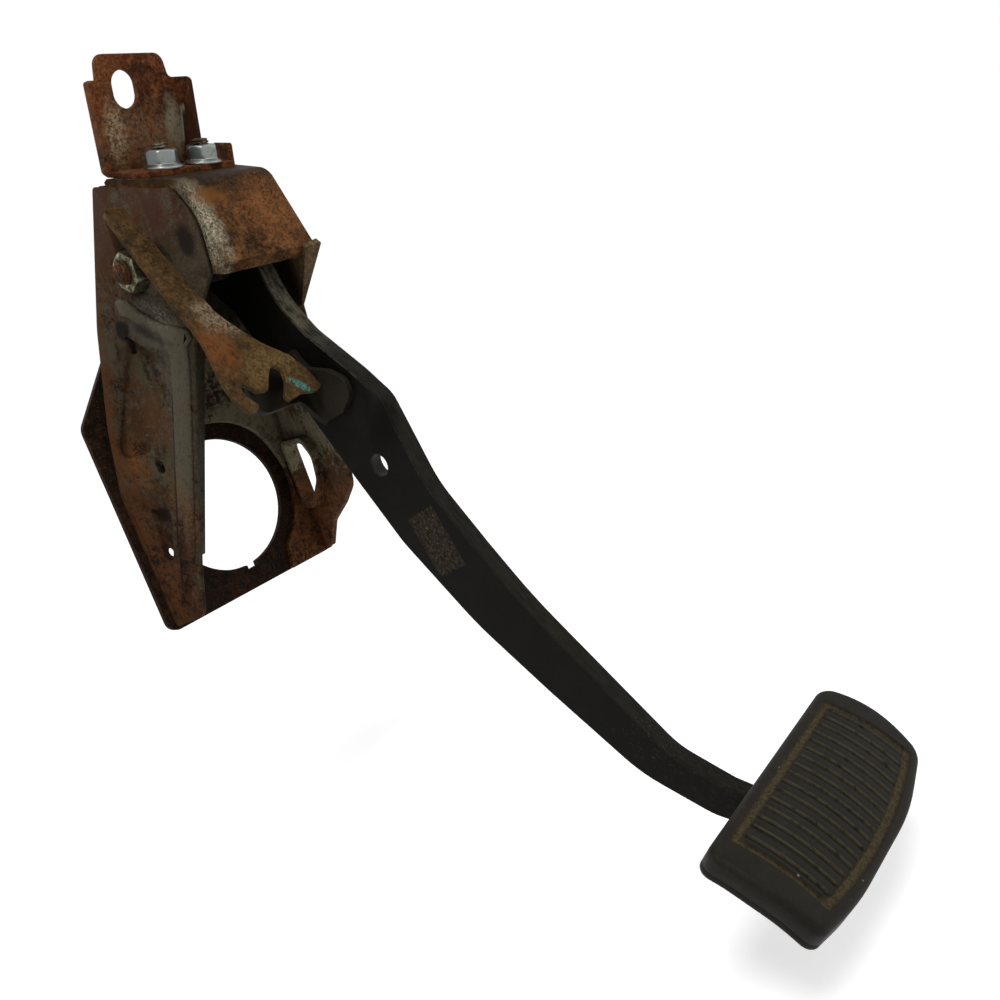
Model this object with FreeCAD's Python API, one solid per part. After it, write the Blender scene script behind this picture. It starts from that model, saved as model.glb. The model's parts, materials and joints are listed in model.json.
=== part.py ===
import FreeCAD, Part
import math
import os

# Brake pedal hanging in a pressed steel bracket.
# X runs across the car, Y forward through the firewall, Z up, all in millimetres.
# The origin is the centre of the round booster opening on the firewall face.

# Driving sizes of the bracket
sheet = 3.0
opening_r = 36.0
base_half_width = 57.5
base_bottom = -49.5
base_shoulder = 62.0
base_top = 92.0
base_top_half = 32.0
notch_width = 6.0
notch_depth = 2.5
sight_hole_r = 5.5
sight_hole_x = -42.5
sight_hole_z = -12.5

# The two side walls lean towards each other as they reach the driver
wall_root = 54.0
wall_angle = 15.0
flange_top = 8.0
flange_low = 5.0
rib_rise = 1.2
rib_inset = 2.5
rib_width = 9.5
recess_depth = 2.4
foot_width = 8.0
web_arch_r = 44.0
lip_rise = 5.2
strip_sheet = 2.5

# Pivot of the pedal
pivot_y = -69.6
pivot_z = 119.0
seat_face = 35.5
seat_r = 18.0
bolt_r = 5.0
bolt_play = 0.2
sleeve_wall = 2.0
bush_wall = 3.0
bush_flange = 1.8
bush_flange_r = 13.0
bush_length = 20.0
hub_wall = 2.2
running_gap = 0.05
side_gap = 0.5
pivot_nut_flats = 16.0
pivot_nut_height = 8.4
bolt_head_height = 6.4
bolt_end = 3.0
bolt_chamfer = 1.0

# Hood over the pivot; its place is taken from the pivot
hood_half_width = 23.2
hood_flare = 4.0
hood_rise = 3.0
hood_corner_r = 10.0
lip_reach = 44.8
lip_under_pivot = 12.2
top_slope = 20.5
top_over_pivot = 39.2
top_ref_y = pivot_y + 5.3
top_ref_z = pivot_z + top_over_pivot
hood_rear_y = pivot_y + 4.1
lip_y = pivot_y - lip_reach
lip_z = pivot_z - lip_under_pivot

# Top bracket and its two studs
bracket_y = pivot_y + 2.6
stud_spread = 21.6
stud_reach = 12.6
stud_r = 4.0
stud_proud = 10.5
stud_head_r = 7.0
stud_head = 1.8
stud_play = 0.5
nut_flats = 13.0
nut_height = 8.3
nut_flange_r = 8.6
nut_flange = 2.2
thread_play = 0.1
bracket_sheet = 2.5
slot_width = 12.0
slot_height = 15.8
slot_x = -14.7
slot_up = 35.7

# Pedal arm
arm_left = 6.0
arm_thick = 9.5
pin_hole_r = 5.2
pin_hole_y = -127.1
pin_hole_z = 1.6

# Pad and its steel plate
pad_centre_x = 15.6
pad_width = 121.5
pad_height = 50.5
pad_tilt = 50.3
pad_edge_y = -274.8
pad_edge_z = -148.9
pad_rim = 9.0
pad_crown_r = 75.0
pad_thick = 12.0
pad_side_wrap = 5.0
rim_bevel = 2.0
plate_thick = 3.0
plate_play = 0.1
pad_back_lip = 2.5
rib_count = 16
rib_groove = 2.6
rib_depth = 1.8
field_half = 46.2
field_high = -6.2
field_low = -43.4
border_width = 2.2
pad_lip_width = 5.0
crown_axis_out = pad_rim - math.sqrt(pad_crown_r ** 2 - (pad_height / 2) ** 2)
pad_back_r = pad_crown_r - pad_thick
plate_back_r = pad_back_r + pad_back_lip
plate_front_r = plate_back_r + plate_thick

# Switch bracket and striker
strip_width = 12.5
striker_sheet = 3.0
striker_tip = -27.0
striker_leg = 28.0
striker_drop = 5.0
striker_leg_drop = 20.0
striker_high = 18.0
striker_y = pivot_y - 28.9
striker_z = pivot_z - 74.0
paddle_angle = 15.0


def vec(x, y, z):
    return FreeCAD.Vector(x, y, z)


def outline(corners):
    """Closed face in the XY plane from corners (x, y) or (x, y, radius)."""
    edges = []
    starts = []
    ends = []
    count = len(corners)
    arcs = []
    for i in range(count):
        here = vec(corners[i][0], corners[i][1], 0)
        radius = corners[i][2] if len(corners[i]) > 2 else 0.0
        if radius <= 0:
            starts.append(here)
            ends.append(here)
            arcs.append(None)
            continue
        before = vec(corners[i - 1][0], corners[i - 1][1], 0) - here
        after_corner = corners[(i + 1) % count]
        after = vec(after_corner[0], after_corner[1], 0) - here
        before.normalize()
        after.normalize()
        half = before.getAngle(after) / 2
        reach = radius / math.tan(half)
        middle = before + after
        middle.normalize()
        centre = here + middle * (radius / math.sin(half))
        first = here + before * reach
        last = here + after * reach
        bulge = centre - middle * radius
        starts.append(first)
        ends.append(last)
        arcs.append(Part.Arc(first, bulge, last).toShape())
    for i in range(count):
        if arcs[i]:
            edges.append(arcs[i])
        following = starts[(i + 1) % count]
        if ends[i].distanceToPoint(following) > 1e-4:
            edges.append(Part.LineSegment(ends[i], following).toShape())
    return Part.Face(Part.Wire(edges))


def prism(corners, low, high):
    """Solid of an outline between two heights of its own frame."""
    solid = outline(corners).extrude(vec(0, 0, high - low))
    solid.translate(vec(0, 0, low))
    return solid


def lay(solid, origin, x_dir, y_dir):
    """Carry a solid from its own frame into the frame given by two axes."""
    x_axis = vec(*x_dir)
    y_axis = vec(*y_dir)
    x_axis.normalize()
    y_axis = y_axis - x_axis * x_axis.dot(y_axis)
    y_axis.normalize()
    z_axis = x_axis.cross(y_axis)
    matrix = FreeCAD.Matrix(x_axis.x, y_axis.x, z_axis.x, origin[0],
                            x_axis.y, y_axis.y, z_axis.y, origin[1],
                            x_axis.z, y_axis.z, z_axis.z, origin[2],
                            0, 0, 0, 1)
    placed = solid.copy()
    placed.Placement = FreeCAD.Placement(matrix).multiply(placed.Placement)
    return placed


def tube(radius, low, high, centre_y, centre_z):
    """Cylinder along X."""
    return Part.makeCylinder(radius, high - low, vec(low, centre_y, centre_z), vec(1, 0, 0))


def side_prism(corners, half):
    """Outline given as (y, z) corners, drawn out along X on both sides of the middle."""
    solid = prism(corners, -half, half)
    return lay(solid, (0, 0, 0), (0, 1, 0), (0, 0, 1))


def front_prism(corners, back, front):
    """Outline given as (x, z) corners, between two values of Y."""
    solid = prism(corners, -front, -back)
    return lay(solid, (0, 0, 0), (1, 0, 0), (0, 0, 1))


def hexagon(flats):
    corner = flats / math.sqrt(3)
    return [(corner * math.cos(math.radians(60 * i)), corner * math.sin(math.radians(60 * i)))
            for i in range(6)]


def from_pivot(y, z, radius=0.0):
    """Corner given from the pivot axis."""
    return (pivot_y + y, pivot_z + z, radius)


def mirrored(shape):
    return shape.mirror(vec(0, 0, 0), vec(1, 0, 0))


# Frame of the left side wall: first axis towards the driver, second up, third outwards
lean = math.radians(wall_angle)
wall_axis = (math.sin(lean), -math.cos(lean), 0)
wall_origin = (-wall_root, 0, 0)


def on_wall(solid):
    return lay(solid, wall_origin, wall_axis, (0, 0, 1))


def along_wall(y):
    """Distance along the wall of a point at this Y."""
    return -y / math.cos(lean)


def wall_x(y, inset):
    """Half distance between the walls at this Y, measured inset behind the outer faces."""
    return wall_root + y * math.tan(lean) - inset / math.cos(lean)


# Plane on which the hood and the top bracket stand
slope = math.radians(top_slope)
top_normal = (0, -math.sin(slope), math.cos(slope))


def top_z(y, rise):
    """Height of a plane parallel to the top of the walls, raised by rise."""
    return top_ref_z + (y - top_ref_y) * math.tan(slope) + rise / math.cos(slope)


# The rear line shared by the side walls and the web, from the base plate upwards
crest_y = pivot_y + 7.8
rear_line = [(-sheet, 18.0, 40), (-12.7, 57.7, 60), from_pivot(38.1, -16.4, 80),
             (crest_y, top_z(crest_y, 0), 2)]
front_edge_low = (33.5, -20.0)
front_edge_high = (along_wall(pivot_y) + 11.65, pivot_z - 38.7)


def between_walls(inset):
    """Wedge of space between the two side walls, inset from their outer faces."""
    deep = -140.0
    corners = [(-wall_x(0, inset), 0), (wall_x(0, inset), 0),
               (wall_x(deep, inset), deep), (-wall_x(deep, inset), deep)]
    return prism(corners, -80, 200)


def in_front_of_rear(offset):
    """Everything on the driver's side of the rear line, moved in by offset."""
    shift = -offset
    corners = [(y + shift, z, r) for y, z, r in rear_line]
    corners[0] = (rear_line[0][0] + shift, 18.0, 40)
    corners += [(-240.0, 230.0), (-240.0, -90.0), (-sheet + shift, -90.0)]
    return side_prism(corners, 90)


def hood_block(inset, drop):
    """Outside of the hood when nothing is given; its hollow when inset by the sheet and dropped."""
    front_top = lip_y + 9.8 + inset
    low_edge = [from_pivot(-40.4, -16 - drop), from_pivot(-27.4, -12 - drop), from_pivot(-24.4, 5 - drop),
                from_pivot(-14.4, 18 - drop), (hood_rear_y, pivot_z + 23 - drop, 0)]
    profile = [(hood_rear_y, top_z(hood_rear_y, hood_rise - inset), 0),
               (front_top, top_z(front_top, hood_rise - inset), hood_corner_r - inset),
               (lip_y + inset, lip_z - drop, 0)] + low_edge
    solid = side_prism(profile, wall_root)
    half = hood_half_width - inset
    rear_half = wall_x(hood_rear_y, sheet) - inset
    bend_y = -(wall_root - sheet / math.cos(lean) - hood_half_width) / math.tan(lean)
    flare_y = lip_y + 14.4
    flare_half = wall_x(flare_y, sheet) - inset
    far = lip_y - 10
    plan = [(-rear_half, hood_rear_y), (rear_half, hood_rear_y), (flare_half, flare_y),
            (half + hood_flare, lip_y), (half + hood_flare, far), (-half, far), (-half, bend_y)]
    return solid.common(prism(plan, pivot_z - 40, pivot_z + 70))


def clear_of_hood(wall):
    """Trim the front of a side wall where the mouth of the hood stands wider than the walls."""
    front = Part.makeBox(200, 62.5, 100, vec(-100, lip_y - 47.6, pivot_z - 29))
    return wall.cut(hood_block(0, 0).common(front))


def make_base_plate():
    corners = [(-base_half_width, base_bottom, 6), (base_half_width, base_bottom, 2),
               (base_half_width, base_shoulder, 8), (base_top_half, base_top, 6),
               (-base_top_half, base_top, 6), (-base_half_width, base_shoulder, 8)]
    plate = front_prism(corners, -sheet, 0)
    plate = plate.cut(Part.makeCylinder(opening_r, 20, vec(0, -10, 0), vec(0, 1, 0)))
    notch = Part.makeBox(notch_width, 20, opening_r + notch_depth, vec(-notch_width / 2, -10, 0))
    notch.rotate(vec(0, 0, 0), vec(0, 1, 0), 178)
    plate = plate.cut(notch)
    sight = Part.makeCylinder(sight_hole_r, 20, vec(sight_hole_x, -10, sight_hole_z), vec(0, 1, 0))
    return plate.cut(sight)


def pivot_seat(wall):
    """Turn the wall square to the pivot bolt over a round pressed seat."""
    outer = tube(seat_r, -seat_face, -seat_face + 3 * sheet, pivot_y, pivot_z)
    pocket = tube(seat_r - sheet, -seat_face + sheet, -seat_face + 6 * sheet, pivot_y, pivot_z)
    window = tube(seat_r - sheet, -seat_face - 6 * sheet, -seat_face, pivot_y, pivot_z)
    keep = on_wall(prism([(-20, -80), (200, -80), (200, 220), (-20, 220)], -4 * sheet, 0))
    proud = tube(seat_r, -seat_face, -seat_face + sheet, pivot_y, pivot_z)
    wall = wall.fuse(outer.common(keep)).fuse(proud)
    wall = wall.cut(pocket).cut(window)
    hole = tube(bolt_r + bolt_play, -60, -10, pivot_y, pivot_z)
    return wall.cut(hole).removeSplitter()


def make_left_side_plate():
    rear = [(along_wall(y), z, r) for y, z, r in rear_line]
    corners = [(0, -48, 0), (23, -45, 6), (front_edge_low[0], front_edge_low[1], 22),
               (front_edge_high[0], front_edge_high[1], 0)]
    seat_u = along_wall(pivot_y)
    corners += [(seat_u + u, pivot_z + up, r) for u, up, r in ((24, -24, 10), (35.4, -13, 8), (39, 9, 25))]
    corners += [(seat_u + 32, top_z(pivot_y - 30.9, 0) - 0.5, 6)]
    corners += list(reversed(rear[1:])) + [(0, 14, 0)]
    wall = on_wall(prism(corners, -sheet, 0))

    # Turned-in flange and raised rib along the straight front edge
    run = vec(front_edge_high[0] - front_edge_low[0], front_edge_high[1] - front_edge_low[1], 0)
    run.normalize()
    side = vec(-run.y, run.x, 0)

    def along_front(start, stop, near, far, low, high, radius):
        a = vec(front_edge_low[0], front_edge_low[1], 0) + run * start
        b = vec(front_edge_low[0], front_edge_low[1], 0) + run * stop
        points = [a + side * near, b + side * near, b + side * far, a + side * far]
        return on_wall(prism([(p.x, p.y, radius) for p in points], low, high))

    length = math.dist(front_edge_low, front_edge_high)
    flange = along_front(6, length - 1, 0, sheet, -flange_top, 0, 0)
    beyond = [(4, -30), (length + 2, -30), (length + 2, -flange_top), (4, -flange_low)]
    spare = lay(prism(beyond, -9, 9), (front_edge_low[0], front_edge_low[1], 0), (run.x, run.y, 0), (0, 0, 1))
    spare = on_wall(spare)
    flange = flange.cut(spare)
    rib = along_front(7, length - 2, rib_inset, rib_inset + rib_width, -1, rib_rise, 2)
    wall = wall.fuse(flange).fuse(rib)

    # Long pressed recess with a lanced slot in its upper corner
    recess = [(46.5, 103.5, 4), (69, 85, 6), (64.5, 69, 20), (44.5, 40.5, 6), (21, 42, 6), (42.5, 92, 4)]
    swell = [(46.5, 106.5, 6), (72, 86, 8), (67.5, 68, 20), (46, 37.5, 8), (16.5, 38.8, 8), (39.5, 92, 6)]
    wall = wall.fuse(on_wall(prism(swell, -sheet - recess_depth, -sheet)))
    wall = wall.cut(on_wall(prism(recess, -recess_depth, 5)))
    slot = [(43.5, 91, 1.5), (50.5, 90, 1.5), (51.5, 97.5, 1.5), (46, 102.5, 1.5)]
    wall = wall.cut(on_wall(prism(slot, -20, 5)))

    # Small oval hole, pressed window and the hole at its foot
    oval = prism([(33.6, 29.5, 2.4), (38.6, 29.0, 2.4), (38.4, 36.4, 2.4), (33.4, 36.9, 2.4)], -20, 5)
    wall = wall.cut(on_wall(oval))
    window = [(18.5, 14.7, 1.5), (30.7, 12.6, 2), (29.0, 5, 4), (19.5, -13.5, 2), (15.0, -12.5, 2)]
    wall = wall.cut(on_wall(prism(window, -1.5, 5)))
    wall = wall.cut(on_wall(Part.makeCylinder(2.4, 25, vec(18.2, -9.4, -20))))
    wall = wall.cut(on_wall(Part.makeCylinder(1.8, 25, vec(26.5, 9.0, -20))))

    # Foot flange that lies on the base plate behind the wall
    foot_x = wall_x(-sheet, 0) - 0.2
    foot = front_prism([(-foot_x, -44, 2), (-foot_x + foot_width, -44, 2), (-foot_x + foot_width, 16, 2),
                        (-foot_x, 16, 2)], -2 * sheet, -sheet)
    foot = foot.cut(Part.makeCylinder(sight_hole_r, 20, vec(sight_hole_x, -10, sight_hole_z), vec(0, 1, 0)))
    front_of_base = Part.makeBox(200, 60, 300, vec(-100, -sheet, -100))
    wall = wall.cut(front_of_base).fuse(foot)
    return clear_of_hood(pivot_seat(wall))


def make_right_side_plate():
    # One pressing: curved rear web, right wall and the foot round the opening
    web = in_front_of_rear(0).cut(in_front_of_rear(sheet)).common(between_walls(sheet))
    web = web.cut(Part.makeCylinder(web_arch_r, 200, vec(0, -100, 0), vec(0, 1, 0)))
    below = [(-90, -80), (23.5, -80), (23.5, base_bottom + 0.5), (28, -31), (35, -10), (0, 0),
             (-wall_root + foot_width - 2, 20), (-90, 20)]
    web = web.cut(front_prism(below, -60, 10))
    foot_end = base_bottom + 0.5
    under_top = [(-90, top_z(-90, 0)), (5, top_z(5, 0)), (5, foot_end), (-90, foot_end)]
    web = web.common(side_prism(under_top, 80))
    wall_shape = [(-1, base_bottom + 0.5, 0), (-16, -46, 6), (-31, -31, 10), (-53, -20.5, 30),
                  (-70, -10, 12), (-76, 22, 60), from_pivot(-18.9, -35, 6), (lip_y + 1, lip_z, 0.5),
                  from_pivot(-34.4, -9, 2), from_pivot(-36.9, 9, 20),
                  (pivot_y - 30.4, top_z(pivot_y - 30.4, 0) - 0.5, 5)]
    wall_shape += list(reversed(rear_line[1:])) + [(-1, 14, 0)]
    wall = on_wall(prism([(along_wall(y), z, r) for y, z, r in wall_shape], -sheet, 0))
    wall = wall.cut(Part.makeBox(200, 60, 300, vec(-100, -sheet, -100)))
    pressing = web.fuse(mirrored(wall))

    # Window beside the root of the wall, with a rim turned in round it
    window = [(15, -17, 2), (27, -17, 5), (44.5, -4, 10), (49, 9, 6), (42, 17.5, 5), (16, 17, 4)]
    rim = [(12, -20, 3), (28, -20, 6), (47, -6, 11), (52, 9, 7), (43, 20.5, 6), (13, 20, 5)]
    pressing = pressing.fuse(mirrored(on_wall(prism(rim, -sheet - lip_rise, -sheet))))
    pressing = pressing.cut(mirrored(on_wall(prism(window, -20, 5))))

    # Front strip of the wall, turned out beside the mouth of the hood
    strip_y = pivot_y - 18.9
    low = (wall_x(strip_y, sheet), strip_y, pivot_z - 35)
    high = (wall_x(lip_y, sheet), lip_y, lip_z)
    climb = (high[0] - low[0], high[1] - low[1], high[2] - low[2])
    length = math.dist(low, high)
    strip = prism([(0, 0, 0), (length, 0, 0), (length, 9.5, 1), (0, 1.2, 0.5)], 1 - sheet, 1)
    pressing = pressing.fuse(lay(strip, low, climb, (1, 0, 0)))
    return clear_of_hood(mirrored(pivot_seat(mirrored(pressing))))


def make_hood():
    hood = hood_block(0, 0).cut(hood_block(sheet, 12)).common(in_front_of_rear(sheet))
    for side in (-1, 1):
        hood = hood.cut(stud_hole(side * stud_spread / 2, stud_r + thread_play))
    return hood.cut(tube(seat_r + side_gap, -60, 60, pivot_y, pivot_z))


def top_frame(solid):
    """Frame of the top bracket: X across, second axis up along the top normal, third to the driver."""
    origin = (0, bracket_y, top_z(bracket_y, hood_rise))
    return lay(solid, origin, (1, 0, 0), top_normal)


def stud_axis(solid, x):
    """Frame of one stud: third axis up along the top normal, starting on the hood."""
    placed = solid.copy()
    placed.rotate(vec(0, 0, 0), vec(1, 0, 0), -90)
    placed.translate(vec(x, 0, stud_reach))
    return top_frame(placed)


def stud_hole(x, radius):
    return stud_axis(Part.makeCylinder(radius, 30, vec(0, 0, -15)), x)


def make_top_bracket():
    left = -29.0
    right = 13.3
    ear_x = 26.5
    face = [(left, 0, 0), (right, 0, 0), (right, 39.8, 0), (8.8, 39.8, 2.5), (6.8, 50, 5),
            (-26.2, 50, 5), (-27.4, 39.8, 0), (left, 39.8, 0)]
    plate = prism(face, -bracket_sheet, 0)
    slot_half = slot_width / 2
    slot_reach = slot_height / 2 - slot_half
    slot = Part.makeBox(slot_width, 2 * slot_reach, 40, vec(slot_x - slot_half, slot_up - slot_reach, -20))
    for way in (-1, 1):
        slot = slot.fuse(Part.makeCylinder(slot_half, 40, vec(slot_x, slot_up + way * slot_reach, -20)))
    plate = plate.cut(slot)

    # Left edge turned back, right edge turned to the driver
    edge_left = left - bracket_sheet
    edge_right = right + bracket_sheet
    back = prism([(edge_left, 2, 2.5), (left, 0, 0), (left, 39.8, 0), (edge_left, 39.0, 1.4)], -4.5, 0)
    front = prism([(right, 0, 0), (edge_right, 0, 0), (edge_right, 38.8, 2), (right, 39.8, 0)],
                  -bracket_sheet, 7.5)

    # Foot under the nuts, with an ear turned up at its right end
    foot_plan = [(left, -bracket_sheet, 0), (ear_x, -bracket_sheet, 0), (ear_x, 15.5, 2), (23, 20, 3),
                 (-24, 21, 3), (left, 16, 4)]
    foot = prism([(x, -z, r) for x, z, r in reversed(foot_plan)], 0, bracket_sheet)
    foot.rotate(vec(0, 0, 0), vec(1, 0, 0), -90)
    ear_in = ear_x - bracket_sheet
    ear = prism([(ear_in, 0, 0), (ear_x, 0, 0), (ear_x, 10.3, 1.2), (ear_in, 10.3, 1.2)], 4.5, 15.5)
    bracket = plate.fuse(back).fuse(front).fuse(foot).fuse(ear)
    bracket = top_frame(bracket)
    for side in (-1, 1):
        bracket = bracket.cut(stud_hole(side * stud_spread / 2, stud_r + stud_play))
        room = Part.makeCylinder(nut_flange_r + 0.3, nut_height + 2, vec(0, 0, bracket_sheet))
        bracket = bracket.cut(stud_axis(room, side * stud_spread / 2))
    return bracket.removeSplitter()


def make_top_stud(side):
    low = -sheet - stud_head
    shank = Part.makeCylinder(stud_r, sheet + stud_proud - low, vec(0, 0, low))
    head = Part.makeCylinder(stud_head_r, stud_head, vec(0, 0, low))
    return stud_axis(shank.fuse(head), side * stud_spread / 2)


def make_top_nut(side, turn):
    body = prism(hexagon(nut_flats), 0, nut_height)
    body.rotate(vec(0, 0, 0), vec(0, 0, 1), turn)
    flange = Part.makeCylinder(nut_flange_r, nut_flange * 0.5)
    skirt = Part.makeCone(nut_flange_r, nut_flats / 2, nut_flange, vec(0, 0, nut_flange * 0.5))
    nut = body.fuse(flange).fuse(skirt)
    nut = nut.cut(Part.makeCylinder(stud_r + thread_play, 30, vec(0, 0, -5)))
    nut.translate(vec(0, 0, bracket_sheet))
    return stud_axis(nut.removeSplitter(), side * stud_spread / 2)


def make_pivot_bolt():
    head_low = seat_face
    shank = tube(bolt_r, -seat_face - pivot_nut_height - bolt_end, head_low + 0.5, pivot_y, pivot_z)
    end = [edge for edge in shank.Edges if edge.BoundBox.XMax < -seat_face - pivot_nut_height]
    shank = shank.makeChamfer(bolt_chamfer, end)
    head = prism(hexagon(pivot_nut_flats), 0, bolt_head_height)
    head = lay(head, (head_low, pivot_y, pivot_z), (0, 1, 0), (0, 0, 1))
    return shank.fuse(head)


def make_pivot_nut():
    nut = prism(hexagon(pivot_nut_flats), 0, pivot_nut_height)
    nut.rotate(vec(0, 0, 0), vec(0, 0, 1), 24)
    nut = nut.cut(Part.makeCylinder(bolt_r + thread_play, 30, vec(0, 0, -5)))
    return lay(nut, (-seat_face, pivot_y, pivot_z), (0, 0, 1), (0, 1, 0))


sleeve_in = bolt_r + bolt_play
sleeve_out = sleeve_in + sleeve_wall
bush_in = sleeve_out + running_gap
bush_out = bush_in + bush_wall
hub_in = bush_out + running_gap
hub_out = hub_in + hub_wall
hub_half = seat_face - sheet - side_gap - bush_flange


def make_pivot_sleeve():
    ends = seat_face - sheet
    sleeve = tube(sleeve_out, -ends, ends, pivot_y, pivot_z)
    return sleeve.cut(tube(sleeve_in, -60, 60, pivot_y, pivot_z))


def make_bush():
    """Left bush; the right one is its mirror image."""
    bush = tube(bush_out, -hub_half, -hub_half + bush_length, pivot_y, pivot_z)
    collar = tube(bush_flange_r, -hub_half - bush_flange, -hub_half, pivot_y, pivot_z)
    return bush.fuse(collar).cut(tube(bush_in, -60, 60, pivot_y, pivot_z))


def make_hub_tube():
    hub = tube(hub_out, -hub_half, hub_half, pivot_y, pivot_z)
    return hub.cut(tube(hub_in, -60, 60, pivot_y, pivot_z))


# Frame of the pad: X across, second axis up the short side, third out of the face
tilt = math.radians(pad_tilt)
pad_up = (0, math.sin(tilt), math.cos(tilt))
pad_out = (0, -math.cos(tilt), math.sin(tilt))
pad_origin = (pad_centre_x, pad_edge_y - pad_out[1] * pad_rim, pad_edge_z - pad_out[2] * pad_rim)


def on_pad(solid):
    return lay(solid, pad_origin, (1, 0, 0), pad_up)


def pad_point(down, out):
    """(y, z) of a place on the pad's middle line."""
    return (pad_origin[1] - pad_up[1] * down + pad_out[1] * out,
            pad_origin[2] - pad_up[2] * down + pad_out[2] * out)


def from_pin(y, z, radius):
    """Corner given from the axis of the pushrod pin."""
    return (pin_hole_y + y, pin_hole_z + z, radius)


def from_pad(y, z, radius):
    """Corner given from the pad's upper edge."""
    return (pad_edge_y + y, pad_edge_z + z, radius)


def make_pedal_arm():
    near = pad_point(-7.9, -10.4)
    under_lip = pad_point(pad_side_wrap + 4.5, -4.8)
    step = pad_point(pad_side_wrap + 6.5, 6)
    toe = pad_point(pad_height - 13, 6)
    heel = pad_point(pad_height - 14, -5)
    front = [from_pivot(-24.4, -7, 6), from_pivot(-28.4, -31, 40), from_pivot(-39.4, -49.5, 30),
             from_pin(-3.9, 43.9, 60), from_pin(-15.4, 29.4, 16), from_pin(-19.9, 6.4, 60),
             from_pin(-23.9, -14.6, 60), from_pin(-40.4, -46.6, 150), from_pad(91.8, 75.9, 250),
             from_pad(40.8, 3.9, 34)]
    rear = [from_pad(27.8, -22.1, 30), from_pad(57.8, -5.1, 60), from_pad(93.2, 33.9, 200),
            from_pad(122.3, 67.9, 150), from_pin(3.1, -38.6, 60), from_pin(21.1, 0.4, 60),
            from_pin(43.1, 50.4, 60), from_pivot(3.6, -29, 20), from_pivot(15.6, -14, 12),
            from_pivot(15.6, 14, 12), from_pivot(-14.4, 19, 14)]
    corners = front + [near, under_lip, step, toe, (heel[0], heel[1], 4)] + rear
    arm = side_prism(corners, arm_thick / 2)
    arm.translate(vec(arm_left + arm_thick / 2, 0, 0))
    arm = arm.cut(on_pad(crown_shell(plate_back_r, plate_back_r + 20)))
    arm = arm.cut(tube(hub_out + running_gap, -60, 60, pivot_y, pivot_z))
    return arm.cut(tube(pin_hole_r, -60, 60, pin_hole_y, pin_hole_z))


def pad_plan(inset):
    """Outline of the pad: straight top edge, bowed ends and lower edge, inset all round."""
    half = pad_width / 2 - inset
    high = -inset
    low = -pad_height + inset
    soft = max(1.5, 6.5 - inset)
    side = 30.0 - 2 * inset
    return [(-half + 1.5, high, soft), (-half, -pad_height * 0.4, side), (-half + 2, low + 5, soft),
            (-half * 0.55, low - 0.5, 50), (half * 0.4, low - 2.5, 50), (half - 6, low + 4, soft + 2),
            (half, -pad_height * 0.4, side), (half - 2.5, high, soft)]


def crown_shell(inner, outer):
    """Curved layer between two radii about the one axis that all surfaces of the pad share."""
    axis = vec(-100, -pad_height / 2, crown_axis_out)
    layer = Part.makeCylinder(outer, 200, axis, vec(1, 0, 0))
    layer = layer.cut(Part.makeCylinder(inner, 200, axis, vec(1, 0, 0)))
    layer.rotate(axis, vec(1, 0, 0), 90)
    return layer.common(Part.makeBox(220, pad_height + 20, 70, vec(-110, -pad_height - 10, -25)))


def make_pad_plate():
    plate = crown_shell(plate_back_r, plate_front_r).common(prism(pad_plan(pad_side_wrap), -22, 32))
    return on_pad(plate)


def make_rubber_pad():
    body = crown_shell(pad_back_r, pad_crown_r).common(prism(pad_plan(0), -22, 32))
    rim_edges = []
    for edge in body.Edges:
        distances = []
        for share in (0.2, 0.8):
            spot = edge.valueAt(edge.FirstParameter + share * (edge.LastParameter - edge.FirstParameter))
            distances.append(spot.distanceToPoint(vec(spot.x, -pad_height / 2, crown_axis_out)))
        if min(distances) > pad_crown_r - 0.05:
            rim_edges.append(edge)
    body = body.makeChamfer(rim_bevel, rim_edges)
    pocket = crown_shell(plate_back_r - plate_play, plate_front_r + plate_play)
    pocket = pocket.common(prism(pad_plan(pad_side_wrap - plate_play), -22, 32))
    mouth = crown_shell(pad_back_r - 4, plate_back_r + 1)
    mouth = mouth.common(prism(pad_plan(pad_side_wrap + pad_lip_width), -21, 31))
    body = body.cut(pocket).cut(mouth)

    # Ribs run up the short side inside a sunken border
    field = [(-field_half, field_high, 1), (-field_half + 1.5, field_low + 2, 2), (-20, field_low, 60),
             (20, field_low, 60), (field_half - 2, field_low + 2, 2), (field_half, field_high, 1)]
    grow = (field_half + border_width) / field_half
    wide = [(x * grow, z + (border_width if z > -20 else -border_width), r + 1.5) for x, z, r in field]
    ring = prism(wide, 2, 40).cut(prism(field, 1, 41))
    step = 2 * field_half / rib_count
    inside = prism(field, 2, 40)
    grooves = []
    for i in range(rib_count):
        x = -field_half + (i + 0.5) * step
        slot = Part.makeBox(rib_groove, pad_height + 20, 40, vec(x - rib_groove / 2, -pad_height - 10, 1))
        grooves.append(slot.common(inside))
    layer = crown_shell(pad_crown_r - rib_depth, pad_crown_r + 6)
    return on_pad(body.cut(ring.fuse(grooves).common(layer)))


# The paddle of the switch bracket and the face of the striker lie parallel
paddle_down = (0, -math.sin(math.radians(paddle_angle)), -math.cos(math.radians(paddle_angle)))
paddle_out = (0, paddle_down[2], -paddle_down[1])


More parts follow.
